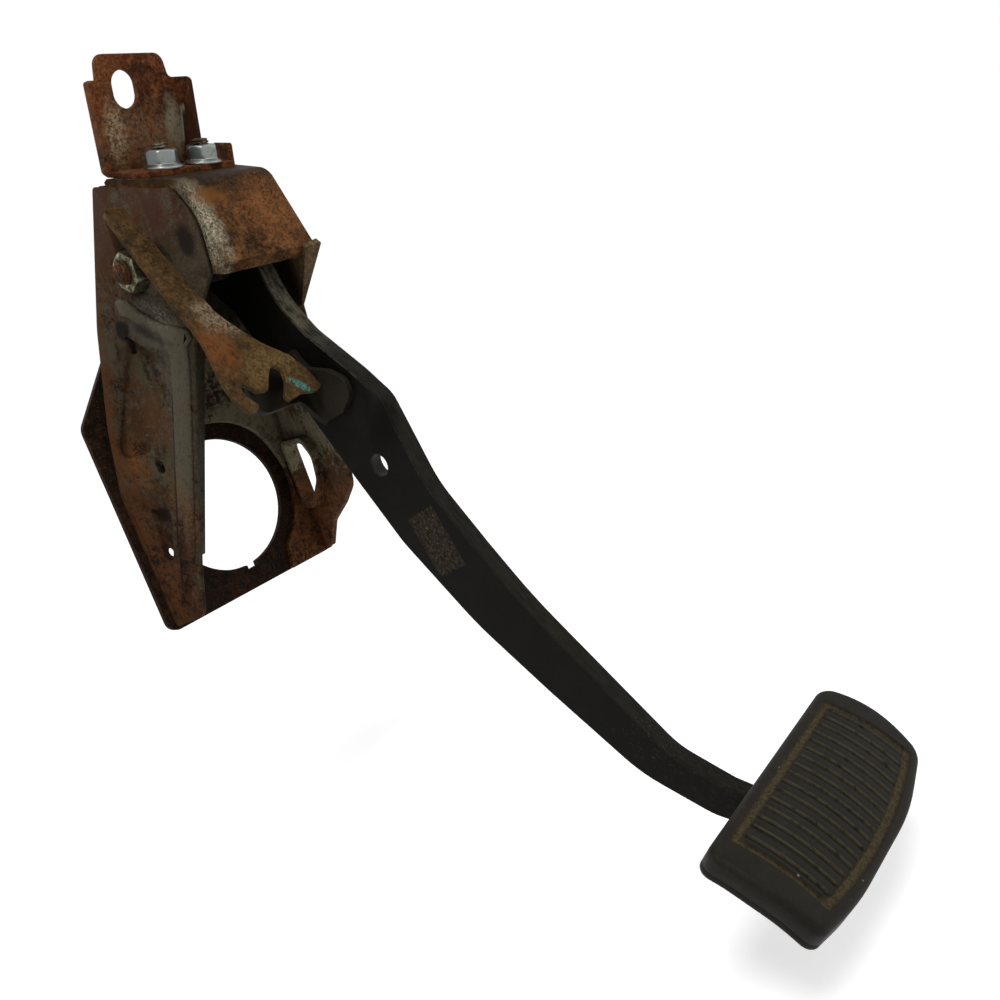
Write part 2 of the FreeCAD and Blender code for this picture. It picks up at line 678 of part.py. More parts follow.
def make_switch_bracket(wall):
    # Strip welded on edge to the left wall, then bent into a slotted paddle
    top = vec(-34.3, pivot_y - 4.1, pivot_z + 25.9)
    foot_root = vec(-28.6, pivot_y - 25.2, pivot_z - 21.6)
    run = foot_root - top
    length = run.Length
    bend = 24.5
    strip = prism([(-2, -strip_width, 4), (length + bend, -strip_width - 1.5, 0),
                   (length + bend, 6.5, 0), (length + 2, 0, 30), (0, 0, 1)], -strip_sheet, 0)
    strip = lay(strip, (top.x, top.y, top.z), (run.x, run.y, run.z), (1, 0, 0))
    paddle_shape = [(-41.6, -1, 0), (-20, -1, 6), (-14, 6.5, 20), (-3.2, 15.2, 6), (2.6, 32.5, 1),
                    (-12, 34, 1.5), (-17.6, 30.7, 0.8), (-11.6, 21, 4.2), (-18, 15.2, 4.2), (-25.3, 26, 1),
                    (-37.9, 20.2, 2), (-35, 31.5, 4), (-33, 34.5, 0.5), (-38, 33, 5), (-44, 19, 14)]
    paddle = prism([(x, v, r) for x, v, r in paddle_shape], 0, strip_sheet)
    paddle = lay(paddle, (0, pivot_y - 34.9, pivot_z - 43.5), (1, 0, 0), paddle_down)
    bracket = strip.fuse(paddle).cut(wall)
    return bracket.cut(tube(seat_r + 0.2, -seat_face - 0.1, 0, pivot_y, pivot_z))


def make_striker():
    # Bent tab: leg welded to the left face of the arm, face turned across behind the paddle
    bend = striker_sheet + 3.0
    section = [(striker_tip, 0, 0), (arm_left, 0, bend), (arm_left, striker_leg, 0),
               (arm_left - striker_sheet, striker_leg, 0), (arm_left - striker_sheet, striker_sheet, 3.0),
               (striker_tip, striker_sheet, 0)]
    angle = prism(section, -striker_high, striker_leg_drop)
    face = [(striker_tip, striker_drop, 5), (-4, striker_drop, 4),
            (arm_left - striker_sheet, striker_leg_drop, 0), (20, striker_leg_drop, 0),
            (20, -striker_high, 0), (-10, -striker_high, 12), (striker_tip, striker_drop - 16, 6)]
    face = lay(prism(face, -40, 1), (0, 0, 0), (1, 0, 0), (0, 0, 1))
    leg = [(-1, striker_leg_drop, 0), (5, striker_leg_drop - 1, 4), (16, striker_leg_drop, 8),
           (striker_leg - 1, 16, 7), (striker_leg, 8, 6), (21, 0, 8), (9, -7, 6), (6, -striker_high - 1, 0),
           (-1, -striker_high - 1, 0)]
    leg = lay(prism(leg, -60, 60), (0, 0, 0), (0, 1, 0), (0, 0, 1))
    tab = angle.common(face).common(leg)
    return lay(tab, (0, striker_y, striker_z), (1, 0, 0), paddle_out)


def write(name, shape):
    shape.exportStep(os.path.join("parts", name + ".step"))
    box = shape.BoundBox
    print(name, len(shape.Solids), "solids, volume", round(shape.Volume), "valid", shape.isValid(),
          "box", [round(v, 1) for v in (box.XMin, box.XMax, box.YMin, box.YMax, box.ZMin, box.ZMax)])


def main():
    os.makedirs("parts", exist_ok=True)
    write("base_plate", make_base_plate())
    left_wall = make_left_side_plate()
    write("left_side_plate", left_wall)
    write("right_side_plate", make_right_side_plate())
    write("hood_channel", make_hood())
    write("top_bracket", make_top_bracket())
    write("top_stud_left", make_top_stud(-1))
    write("top_stud_right", make_top_stud(1))
    write("top_nut_left", make_top_nut(-1, 12))
    write("top_nut_right", make_top_nut(1, 26))
    write("pivot_bolt", make_pivot_bolt())
    write("pivot_nut", make_pivot_nut())
    write("pivot_sleeve", make_pivot_sleeve())
    write("bush_left", make_bush())
    write("bush_right", mirrored(make_bush()))
    write("hub_tube", make_hub_tube())
    write("pedal_arm", make_pedal_arm())
    write("pad_plate", make_pad_plate())
    write("rubber_pad", make_rubber_pad())
    write("switch_bracket", make_switch_bracket(left_wall))
    write("stop_switch_striker", make_striker())


main()
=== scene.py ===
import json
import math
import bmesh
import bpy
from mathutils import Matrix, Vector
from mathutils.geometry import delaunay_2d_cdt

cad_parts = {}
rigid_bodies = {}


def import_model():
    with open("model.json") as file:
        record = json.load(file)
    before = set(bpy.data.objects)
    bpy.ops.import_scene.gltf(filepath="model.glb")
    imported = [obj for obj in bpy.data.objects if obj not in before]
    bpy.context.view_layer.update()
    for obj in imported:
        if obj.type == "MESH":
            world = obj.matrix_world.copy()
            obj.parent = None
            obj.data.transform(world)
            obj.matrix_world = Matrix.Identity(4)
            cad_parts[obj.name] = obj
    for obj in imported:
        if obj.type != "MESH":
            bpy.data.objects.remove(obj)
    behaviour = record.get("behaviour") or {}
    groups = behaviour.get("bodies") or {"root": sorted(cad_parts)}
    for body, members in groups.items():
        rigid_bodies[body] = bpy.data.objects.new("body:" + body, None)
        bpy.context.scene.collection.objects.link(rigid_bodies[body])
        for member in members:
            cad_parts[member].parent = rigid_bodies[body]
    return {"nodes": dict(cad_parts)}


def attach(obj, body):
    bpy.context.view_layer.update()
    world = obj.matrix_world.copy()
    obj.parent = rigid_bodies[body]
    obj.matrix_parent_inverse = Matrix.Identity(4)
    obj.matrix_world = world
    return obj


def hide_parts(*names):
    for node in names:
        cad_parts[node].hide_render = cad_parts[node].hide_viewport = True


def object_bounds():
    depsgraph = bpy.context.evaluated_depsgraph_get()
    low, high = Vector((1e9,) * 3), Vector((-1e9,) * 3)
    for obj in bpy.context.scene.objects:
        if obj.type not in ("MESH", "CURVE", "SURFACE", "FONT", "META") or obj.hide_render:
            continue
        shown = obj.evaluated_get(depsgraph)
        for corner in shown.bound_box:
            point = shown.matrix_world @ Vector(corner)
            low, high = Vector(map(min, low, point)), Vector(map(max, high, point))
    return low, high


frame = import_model()
cad_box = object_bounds()

# %% [markdown]
# A worn brake pedal in its pressed steel bracket, taken off a car.
# The frame brings every rigid piece at its true size and place, in metres.
# This lesson gives the pieces their look: rusted steel, thin grey paint, bright zinc,
# black enamel and moulded rubber. The pad and the threaded parts are built here, because a
# rule such as "ribs at an even pitch" is shorter than a drawing of each rib. The left wall,
# the arm and the switch bracket get details that the solids leave out.

scene = bpy.context.scene
lean = math.radians(15)  # of both side walls
outer_face = 54.0 * math.cos(lean)  # from the opening's axis to the left wall, in millimetres
pivot_y, pivot_z = -69.6, 119.0
wall_thick = 3.0
print("pieces in the frame:", len(frame["nodes"]))

# %% [markdown]
# A node tree is easier to read as a sum than as forty separate nodes. Wire stands for one
# value that flows through a tree, and its plus, minus and times make the Math nodes.
# The same class serves the floor, the materials and the Geometry Nodes below.

# %% Wires
def feed(tree, value, socket):
    """Give a socket a plain value or what a wire carries."""
    if isinstance(value, Wire):
        tree.links.new(value.socket, socket)
    else:
        socket.default_value = value


def add(tree, kind, inputs=None, output=0, **settings):
    """A new node with its settings and its inputs; gives back the wire that leaves it."""
    node = tree.nodes.new(kind)
    for name, value in settings.items():
        setattr(node, name, value)
    for key, value in (inputs or {}).items():
        feed(tree, value, node.inputs[key])
    return Wire(tree, node.outputs[output])


class Wire:
    """One value on its way through a node tree."""

    def __init__(self, tree, socket):
        self.tree, self.socket = tree, socket

    def math(self, operation, *others):
        return add(self.tree, "ShaderNodeMath", dict(enumerate((self, *others))), operation=operation)

    def __add__(self, other):
        return self.math("ADD", other)

    def __sub__(self, other):
        return self.math("SUBTRACT", other)

    def __mul__(self, other):
        return self.math("MULTIPLY", other)

    def __truediv__(self, other):
        return self.math("DIVIDE", other)

    def inverse(self):
        """One minus the value."""
        return self * -1.0 + 1.0

    def smooth(self, low, high):
        """From 0 at low to 1 at high, with soft ends; low may be the larger one."""
        return add(self.tree, "ShaderNodeMapRange", {"Value": self, "From Min": low, "From Max": high},
                   "Result", interpolation_type="SMOOTHSTEP")

    def within(self, far, near):
        """1 while the value is nearer to 0 than near, fading to 0 at far, on both sides."""
        return self.math("ABSOLUTE").smooth(far, near)


def card(code):
    """A colour written as on a colour card, turned into the linear numbers that Blender mixes."""
    parts = [int(code[i:i + 2], 16) / 255 for i in (0, 2, 4)]
    return (*(c / 12.92 if c <= 0.04045 else ((c + 0.055) / 1.055) ** 2.4 for c in parts), 1.0)


print("mid grey of a card:", [round(c, 3) for c in card("808080")])

# %% [markdown]
# The camera stands to the left of the driver's seat, a little above the pedal, and is
# tilted, as a hand-held camera is. A camera can be aimed with a tracking constraint, but a
# matrix made from three angles is exact, and it can be checked against the photograph.

# %% The camera
def axes(x, y, z):
    """The turn that lays the three axes along three directions."""
    return Matrix((x, y, z)).transposed().to_4x4()


def camera_turn(azimuth, elevation, roll):
    """Turn of a camera, from three angles in degrees."""
    a, e, r = (math.radians(v) for v in (azimuth, elevation, roll))
    back = Vector((math.sin(a) * math.cos(e), -math.cos(a) * math.cos(e), math.sin(e)))
    right = Vector((math.cos(a), math.sin(a), 0))
    up = back.cross(right)
    return axes(right * math.cos(r) + up * math.sin(r), up * math.cos(r) - right * math.sin(r), back)


camera = bpy.data.objects.new("camera", bpy.data.cameras.new("camera"))
camera.data.sensor_width = 36.0
camera.data.lens = 34.208
camera.data.clip_start = 0.01
camera_place = (-0.281728, -0.459592, 0.054125)
camera.matrix_world = Matrix.Translation(camera_place) @ camera_turn(-47.039, 11.218, -19.312)
scene.collection.objects.link(camera)
scene.camera = camera
print("camera at", [round(v, 3) for v in camera.matrix_world.translation])

# %% [markdown]
# Large area lamps give soft light without hard shadows, as a light tent does. One key lamp
# stands high on the camera's left, a weaker one fills the right side, and a third one
# behind draws a thin line of light on the edges. The floor is white for the camera, and
# still takes the soft shadow of the pedal.

# %% Lamps
def lamp(name, place, size, power, target=(0.0, -0.12, 0.02)):
    data = bpy.data.lights.new(name, "AREA")
    data.shape = "DISK"
    data.size = size
    data.energy = power
    thing = bpy.data.objects.new(name, data)
    thing.location = place
    thing.rotation_euler = (Vector(target) - Vector(place)).to_track_quat("-Z", "Y").to_euler()
    scene.collection.objects.link(thing)


lamp("key_lamp", (-0.50, -0.70, 1.15), 0.6, 11.5)
lamp("fill_lamp", (0.75, -0.95, 0.45), 0.9, 3.0)
lamp("back_lamp", (-0.35, 0.95, 0.80), 0.6, 4.0)

# %% World, floor and view transform
scene.view_settings.view_transform = "Standard"
white = (1, 1, 1, 1)


def camera_rays(tree):
    """1 for what the camera sees, straight, in a mirror or through glass."""
    rays = tree.nodes.new("ShaderNodeLightPath").outputs
    seen = Wire(tree, rays["Is Camera Ray"])
    for kind in ("Is Glossy Ray", "Is Transmission Ray"):
        seen = seen.math("MAXIMUM", Wire(tree, rays[kind]))
    return seen


world = bpy.data.worlds.new("studio")
scene.world = world
world.use_nodes = True
sky = world.node_tree
dim = sky.nodes["Background"]
dim.inputs["Color"].default_value = white
dim.inputs["Strength"].default_value = 0.36
backdrop = add(sky, "ShaderNodeBackground", {"Color": white, "Strength": 1.0})
shown = add(sky, "ShaderNodeMixShader", {"Fac": camera_rays(sky), 1: Wire(sky, dim.outputs[0]), 2: backdrop})
feed(sky, shown, sky.nodes["World Output"].inputs["Surface"])


def make_floor(level, reach):
    mesh = bpy.data.meshes.new("floor")
    mesh.from_pydata([(x * reach, y * reach, level) for x, y in ((-1, -1), (1, -1), (1, 1), (-1, 1))],
                     [], [(0, 1, 2, 3)])
    thing = bpy.data.objects.new("floor", mesh)
    scene.collection.objects.link(thing)
    finish = bpy.data.materials.new("pale_floor")
    finish.use_nodes = True
    tree = finish.node_tree
    # The lamps light the floor only near the pedal, so its own glow grows with the distance
    place = add(tree, "ShaderNodeTexCoord", output="Object")
    far = add(tree, "ShaderNodeVectorMath", {0: place}, "Value", operation="LENGTH")
    glow = add(tree, "ShaderNodeMapRange", {"Value": far, "From Min": 0.5, "From Max": 2.2,
                                            "To Min": 0.45, "To Max": 0.80}, "Result")
    for socket, value in {"Base Color": (0.86, 0.86, 0.86, 1), "Roughness": 0.9, "Emission Color": white,
                          "Emission Strength": camera_rays(tree) * glow}.items():
        feed(tree, value, tree.nodes["Principled BSDF"].inputs[socket])
    mesh.materials.append(finish)
    return thing


floor = make_floor(cad_box[0].z - 0.03, 6.0)
print("floor at", round(floor.data.vertices[0].co.z, 3))

# %% [markdown]
# Paint and rust lie on steel in coats, and the worn places show the coat below. Finish
# works in the same way: it starts with a ground and lays coat upon coat, each through a
# mask. Masks come from noise, from a place on the piece in millimetres, or from its edges.
# All of them read Object coordinates, so that a pattern stays on its piece.

# %% Coats and masks
class Finish:
    """A material built up from the ground in coats."""

    def __init__(self, name, ground, rough, metal=0.0, shine=0.06):
        self.material = bpy.data.materials.new(name)
        self.material.use_nodes = True
        self.tree = self.material.node_tree
        self.skin = self.tree.nodes["Principled BSDF"].inputs
        self.skin["Metallic"].default_value = metal
        self.skin["Specular IOR Level"].default_value = 0.5 if metal else shine
        self.colour, self.rough, self.height = card(ground), rough, 0.0
        place = self.add("ShaderNodeTexCoord", output="Object")
        self.mm = self.add("ShaderNodeVectorMath", {0: place, "Scale": 1000.0}, operation="SCALE")
        split = self.add("ShaderNodeSeparateXYZ", {0: self.mm}).socket.node
        self.x, self.y, self.z = (Wire(self.tree, way) for way in split.outputs)

    def add(self, *what, **settings):
        return add(self.tree, *what, **settings)

    def shifted(self, shift, stretch=(1, 1, 1), turn=(0, 0, 0)):
        return self.add("ShaderNodeMapping", {
            "Vector": self.mm, "Location": shift, "Rotation": [math.radians(t) for t in turn],
            "Scale": [1 / s for s in stretch]})

    def noise(self, size, seed, detail=4.0, rough=0.6, stretch=(1, 1, 1), turn=(0, 0, 0)):
        """Cloudy value about 0.5, with clouds of the given size in millimetres."""
        place = self.shifted((seed * 37.0, seed * 61.0, 0), stretch, turn)
        return self.add("ShaderNodeTexNoise", {"Vector": place, "Scale": 1.0 / size, "Detail": detail,
                                               "Roughness": rough}, "Fac")

    def grain(self, size, seed, low, high, rough=0.8, detail=5.0):
        """Noise as a mask, 0 at low and 1 at high."""
        return self.noise(size, seed, detail, rough).smooth(low, high)

    def specks(self, size, share, seed):
        """Small separate dots, a share of the cells of the given size."""
        cells = self.add("ShaderNodeTexVoronoi", {
            "Vector": self.shifted((seed * 13.0, 0, seed * 7.0)), "Scale": 1.0 / size}, "Distance")
        dice = self.add("ShaderNodeSeparateColor", {0: Wire(self.tree, cells.socket.node.outputs["Color"])})
        return cells.smooth(0.32, 0.12) * dice.smooth(1 - share, 1 - share * 0.9)

    def blot(self, centre, reach, soft, ragged, size, turn=(0, 0, 0), seed=3):
        """1 inside an egg round a point in millimetres, fading over its ragged rim."""
        off = self.add("ShaderNodeVectorMath", {0: self.mm, 1: centre}, operation="SUBTRACT")
        spin = self.add("ShaderNodeMapping", {"Vector": off, "Rotation": [math.radians(t) for t in turn]})
        shrunk = self.add("ShaderNodeVectorMath", {0: spin, 1: reach}, operation="DIVIDE")
        away = self.add("ShaderNodeVectorMath", {0: shrunk}, "Value", operation="LENGTH")
        away = away + (self.noise(size, seed, 5.0, 0.65) - 0.5) * (ragged * 3)
        return away.smooth(1 + soft, 1 - soft)

    def edges(self, radius, low=0.02, high=0.25):
        """1 along the sharp edges of the piece."""
        bevel = self.add("ShaderNodeBevel", {"Radius": radius / 1000}, samples=4)
        true = self.add("ShaderNodeNewGeometry", output="Normal")
        meet = self.add("ShaderNodeVectorMath", {0: bevel, 1: true}, "Value", operation="DOT_PRODUCT")
        return meet.inverse().smooth(low, high)

    def corner_shade(self, reach, low=0.25, high=0.75):
        """1 deep in corners and folds, for painted shade there; reach is in millimetres."""
        open_sky = self.add("ShaderNodeAmbientOcclusion", {"Distance": reach / 1000}, "AO",
                            samples=8, only_local=True)
        return open_sky.inverse().smooth(low, high)

    def lay(self, mask, colour, mode):
        self.colour = self.add("ShaderNodeMix", {"Factor": mask, "A": self.colour, "B": colour}, "Result",
                               data_type="RGBA", blend_type=mode)

    def coat(self, mask, colour, rough, rise=0.0):
        """Lay a colour where the mask is 1, with its own roughness and a rise in millimetres."""
        self.lay(mask, card(colour), "MIX")
        self.rough = mask * (self.rough * -1 + rough) + self.rough
        if rise:
            self.height = mask * rise + self.height

    def patches(self, rows):
        """Coats in ragged blots. A row gives the centre, reach, softness, raggedness, size of the rags,
        turn about X, seed, strength, colour and roughness, and the grain that breaks it up, if any."""
        for centre, reach, soft, ragged, size, turn, seed, strength, colour, rough, *grain in rows:
            mask = self.blot(centre, reach, soft, ragged, size, (turn, 0, 0), seed)
            if grain:
                mask = mask * self.grain(*grain)
            self.coat(mask * strength, colour, rough)

    def rub(self, radius, size, seed, low, high, strength, colour, rough):
        """Wear the sharp edges to a lighter colour, in places."""
        self.coat(self.edges(radius) * self.grain(size, seed, low, high, 0.6) * strength, colour, rough)

    def shade(self, mask, strength):
        """Darken where the mask is 1, to 1 minus strength."""
        keep = 1 - strength
        self.lay(mask, (keep, keep, keep, 1), "MULTIPLY")

    def done(self, soft_edge):
        """Wire the coats to the skin, with edges softened over some millimetres."""
        normal = self.add("ShaderNodeBevel", {"Radius": soft_edge / 1000}, samples=4)
        if isinstance(self.height, Wire):
            normal = self.add("ShaderNodeBump", {"Strength": 1.0, "Distance": 0.001, "Height": self.height,
                                                 "Normal": normal})
        for socket, value in (("Base Color", self.colour), ("Roughness", self.rough), ("Normal", normal)):
            feed(self.tree, value, self.skin[socket])
        return self.material


def dress(name, material):
    """Give a piece of the frame its finish."""
    for slot in frame["nodes"][name].material_slots:
        slot.material = material


print("coats and masks are ready")

# %% [markdown]
# Bare sheet steel rusts in layers: a dark brown skin first, then orange-brown blooms, fine
# yellow specks and grey places where the rust has worn off. The pieces share this ground,
# and each one gets the places that its own photograph shows.

# %% Rusted sheet steel
def rusty(name, dark, mid, bright, seed, grain=1.0):
    """Rust from three browns, with clouds, a fine bright grain and dark pits."""
    steel = Finish(name, mid, 0.68)
    steel.coat(steel.grain(17, seed, 0.55, 0.40, 0.66, 6), dark, 0.74)
    steel.coat(steel.grain(6, seed + 1, 0.50, 0.62, 0.72, 6) * 0.7, bright, 0.80, 0.04)
    fine = steel.noise(1.5, seed + 2, 5, 0.80)
    steel.coat(fine.smooth(0.52, 0.66) * 0.62 * grain, bright, 0.86, 0.03)
    steel.shade(fine.smooth(0.50, 0.36) * grain, 0.72)
    steel.coat(steel.grain(1.1, seed + 5, 0.58, 0.68, 0.85) * 0.35 * grain, "8a7a62", 0.6)
    steel.shade(steel.grain(3.4, seed + 4, 0.48, 0.36, 0.72, 6) * 0.8, 0.45)
    steel.height = steel.noise(1.5, seed + 3, 5, 0.75) * 0.22 + steel.height
    return steel


hood = rusty("hood_rust", "2b1b0c", "4d3119", "724d2d", 2)
top_skin = (hood.z - hood.y * 0.374 - 186.0).smooth(-6.5, 0.5)
hood.coat(top_skin * (hood.noise(7, 5, 5, 0.7) * 0.9 + 0.45), "1a130b", 0.6)
hood.coat(top_skin * hood.grain(1.6, 9, 0.52, 0.66) * 0.45, "524532", 0.6)
hood.patches([
    ((-1, -103, 143), (17, 12, 8), 0.7, 0.7, 9, 0, 3, 1, "1a130c", 0.6, 2.6, 10, 0.36, 0.58, 0.75),
    ((14, -109, 128), (15, 12, 15), 0.6, 0.7, 6, 0, 6, 0.8, "7e502d", 0.8, 1.3, 14, 0.42, 0.62)])
corner = hood.blot((-22.0, -106.5, 126), (6.0, 9, 19), 0.55, 0.5, 4, seed=8)
hood.coat(corner * 0.85, "6c6453", 0.5)
low_down = (hood.z * -1 + 146).smooth(-4, 20)
hood.coat(corner * hood.grain(1.1, 11, 0.46, 0.58, 0.85) * (low_down * 0.65 + 0.35), "b0a68d", 0.45)
hood.coat(corner * hood.grain(1.9, 16, 0.50, 0.38), "231c12", 0.7)
hood.patches([
    ((-17.5, -100, 142), (4, 5, 4), 0.5, 0.7, 2.5, 0, 3, 0.9, "6a5f4a", 0.45),
    ((-13, -106, 137), (7, 8, 4), 0.7, 0.8, 4, 0, 3, 0.8, "6c451f", 0.8)])
hood.rub(0.9, 3, 12, 0.44, 0.6, 0.8, "785f3e", 0.5)
# Painted shade inside the hood, behind its front face and under its top.
inside = (hood.y + 101).smooth(-8, 4) * (hood.z * -1 + 143).smooth(-2, 4)
hood.shade(inside * 0.9, 0.85)
dress("hood_channel", hood.done(0.7))

bracket = rusty("bracket_rust", "34190d", "59301a", "7d4a28", 7, 0.9)
bracket.patches([
    ((-9, -73, 173), (19, 16, 13), 0.6, 0.6, 7, 0, 22, 0.9, "655640", 0.5, 1.5, 23, 0.44, 0.58),
    ((-23, -72, 176), (5, 10, 15), 0.5, 0.6, 4, 0, 24, 1, "8b7c5e", 0.5, 1.3, 25, 0.44, 0.56),
    ((8, -75, 178), (4.5, 9, 12), 0.5, 0.5, 5, 0, 26, 0.9, "7a7360", 0.45, 1.6, 31, 0.34, 0.52),
    ((-23, -80, 165), (10, 12, 7), 0.5, 0.6, 5, 0, 27, 0.8, "512c12", 0.7)])
bracket.coat(bracket.grain(2.2, 21, 0.56, 0.68) * 0.5, "7f654f", 0.7)
bracket.patches([
    ((-25, -82, 202), (8, 8, 9), 0.5, 0.6, 4, 0, 28, 1, "7c4f28", 0.7, 1.2, 29, 0.50, 0.60)])
bracket.rub(0.9, 4, 30, 0.42, 0.6, 0.85, "85582f", 0.5)
turned_edge = bracket.x - 11.5 - (bracket.z - 171.7) * 0.105
# Painted shade on the inner face of the turned right flange.
bracket.coat(turned_edge.smooth(-0.5, 0.7) * (bracket.z - 166).smooth(0, 4) * 0.85, "2b150b", 0.75)
# Painted highlight along the bend of the turned flange.
bend_highlight = turned_edge.within(0.7, 0.3) * (bracket.z - 179).within(8.5, 6)
upright_face = (bracket.y + bracket.z * 0.31 + 19.4).within(2.0, 1.2)
bracket.coat(bend_highlight * upright_face * 0.7, "9a927c", 0.5)
# Painted shade in the bracket's corners and folds.
bracket.shade(bracket.corner_shade(6), 0.6)
dress("top_bracket", bracket.done(0.9))

strip = rusty("strip_rust", "352816", "43311b", "5f492b", 13, 0.8)
strip.coat(strip.grain(5, 41, 0.52, 0.66, 0.75) * 0.5, "54381d", 0.8)
strip.patches([
    ((-27, -98, 88), (10, 10, 11), 0.5, 0.6, 6, 0, 42, 1, "7a6b57", 0.7, 1.3, 43, 0.44, 0.56),
    ((-36, -101, 72), (8, 9, 12), 0.6, 0.6, 5, 0, 44, 1, "693c1d", 0.8, 2.4, 48, 0.36, 0.56),
    ((-16, -106, 60), (15, 9, 9), 0.6, 0.6, 6, 0, 49, 0.8, "6d5834", 0.7, 1.6, 40, 0.42, 0.60)])
teal = strip.blot((-7.9, -112.2, 47.8), (6.0, 3.5, 1.7), 0.35, 0.6, 1.6, (0, -47, 0), 45)
strip.coat(teal * strip.grain(1.1, 46, 0.42, 0.54), "487c75", 0.55)
strip.rub(0.8, 4, 47, 0.42, 0.6, 0.85, "7c5f38", 0.55)
# Painted shade in the strip's corners and folds.
strip.shade(strip.corner_shade(5), 0.5)
strip.done(0.7)

base = rusty("base_rust", "120b07", "1e120b", "342012", 17, 0.9)
base.coat(base.grain(3, 51, 0.58, 0.70, 0.75) * 0.7, "3e2a1d", 0.8)
base.rub(0.8, 5, 52, 0.46, 0.62, 0.8, "4e3a28", 0.55)
dress("base_plate", base.done(0.7))
print("rusted pieces:", "hood_channel, top_bracket, switch_bracket, base_plate")

# %% [markdown]
# The two side pressings still have their thin warm-grey coat. It is sound on the raised
# places, and rust comes through in the hollows, along the rear edge and at the foot. So the
# ground is rust here, and the grey is the coat on top, broken up by noise.

# %% Grey coat over rust
def worn_grey(name, grey, rust_low, seed, cover):
    """Grey coat on rust. It holds where noise and the rust_low rule together pass cover."""
    wall = rusty(name, "21150f", "3b2819", "593a21", seed)
    clouds = wall.noise(12, seed + 5, 6, 0.75) * 0.55 + wall.noise(3.0, seed + 6, 6, 0.80) * 0.45
    holds = (clouds + rust_low(wall)).smooth(cover - 0.03, cover + 0.03)
    wall.coat(holds, grey, 0.46, 0.08)
    fine = wall.noise(1.2, seed + 7, 5, 0.8)
    wall.coat(holds * fine.smooth(0.54, 0.64) * 0.6, "5c5547", 0.5)
    wall.coat(holds * fine.smooth(0.47, 0.36) * 0.85, "241c14", 0.7)
    wall.coat(holds * wall.grain(6, seed + 8, 0.50, 0.64, 0.7) * 0.5, "31281e", 0.55)
    return wall


def left_cover(wall):
    """Rust grows towards the rear edge, the foot and the top corner of the left wall."""
    rear = (wall.y + 30 + (wall.z - 20) * 0.30).smooth(-20, 10) * -0.09
    foot = (wall.z - 8).smooth(22, -24) * -0.09
    crest = (wall.z - 122).smooth(-6, 16) * -0.02
    return rear + foot + crest + 0.045


left = worn_grey("left_wall_grey", "40392c", left_cover, 3, 0.475)
depth = left.x * math.cos(lean) + left.y * math.sin(lean) + outer_face
raised = (depth * -1 - 0.5).smooth(0.0, 0.8) * (left.y + 84).smooth(0, 2) * (left.z * -1 + 114).smooth(0, 2)
left.coat(raised * (left.z - 6).smooth(-14, 14) * left.grain(2.6, 61, 0.34, 0.46, 0.75) * 0.9, "4f493b", 0.42)
left.coat(raised * left.grain(1.1, 79, 0.44, 0.36, 0.85) * 0.8, "1d160f", 0.6)
left.coat(raised * (left.z - 20).smooth(6, -16) * left.grain(1.4, 78, 0.44, 0.56) * 0.8, "3d2415", 0.75)
left.patches([
    ((-39, -50, 98), (6, 17, 7), 0.5, 0.6, 5, 20, 62, 0.7, "4a4336", 0.42),
    ((-36, -66, 90), (6, 15, 4.5), 0.5, 0.5, 4, 0, 63, 0.8, "554e41", 0.40),
    ((-47, -33, 95), (4, 6, 15), 0.5, 0.6, 4, 0, 64, 0.7, "464032", 0.5)])
recess = (left.y + 42.4 + (left.z - 68) * 0.49).within(16, 14) * (left.z - 67).within(30, 27)
left.coat(recess * depth.smooth(0.9, 1.9) * left.grain(4, 59, 0.40, 0.56, 0.75, 6) * 0.85, "3c2714", 0.75)
near_rear = (left.y + 13 + (left.z - 60) * 0.36).smooth(-11, -2)
left.coat(near_rear * (left.z - 20).smooth(0, 30) * left.grain(2.8, 75, 0.38, 0.54) * 0.85, "4d311a", 0.8)
left.coat((left.z - 118).smooth(-4, 16) * left.grain(5, 76, 0.36, 0.56, 0.75, 6) * 0.85, "3c2517", 0.75)
left.patches([
    ((-41, -45.5, 98), (6, 5.0, 4.6), 0.3, 0.5, 4, 0, 52, 1, "15110c", 0.7),
    # Painted shadow line under the lower edge of the raised band's top.
    ((-38, -60, 93), (6, 11, 3.2), 0.5, 0.6, 4, -42, 50, 0.8, "1c1711", 0.6),
    ((-44, -24, 44), (6, 4.6, 3.6), 0.4, 0.6, 3, 0, 51, 1, "170f0a", 0.7),
    ((-45, -22, 10), (6, 5.4, 3.6), 0.3, 0.6, 3, -14, 48, 0.9, "160d08", 0.7),
    ((-43, -46, 80), (5, 5.5, 12), 0.3, 0.6, 4, 0, 65, 0.85, "373626", 0.5),
    ((-42, -52, 76), (5, 2.6, 15), 0.4, 0.8, 3, 8, 66, 1, "120d08", 0.7),
    ((-42, -47, 76), (5, 1.6, 8), 0.4, 0.9, 2, 0, 60, 0.8, "140e09", 0.7),
    ((-42, -44, 52), (6, 8, 12), 0.5, 0.8, 5, 0, 67, 1, "4a2e16", 0.8, 1.6, 58, 0.40, 0.58),
    ((-30.5, -88, 138.5), (6, 6.0, 8), 0.5, 0.4, 5, 0, 68, 0.75, "361f15", 0.65),
    ((-27.5, -98.6, 122), (6, 4.6, 6.8), 0.35, 0.25, 5, 0, 69, 0.9, "18130f", 0.6),
    ((-50, -22, 38), (6, 8, 14), 0.6, 0.8, 4, 0, 70, 1, "623d1e", 0.8, 1.5, 57, 0.42, 0.60),
    ((-44, -38, 12), (5, 9, 18), 0.6, 0.8, 4, 0, 71, 1, "64492d", 0.8, 1.4, 56, 0.44, 0.60)])
from_front = left.y + 32.9 + (left.z + 20) * 0.487
seam = (from_front - 13.4 + (left.z * -1 + 40).smooth(0, 50) * 1.2).within(1.0, 0.3)
left.coat(seam * (left.z * -1 + 66).smooth(-4, 10) * left.grain(2.2, 55, 0.30, 0.46) * 0.85, "110a06", 0.7)
low_front = (from_front - 10.5).within(5.0, 1.0) * (left.z * -1 + 12).smooth(-4, 10)
left.coat(low_front * left.grain(2.4, 77, 0.40, 0.56), "150c07", 0.7)
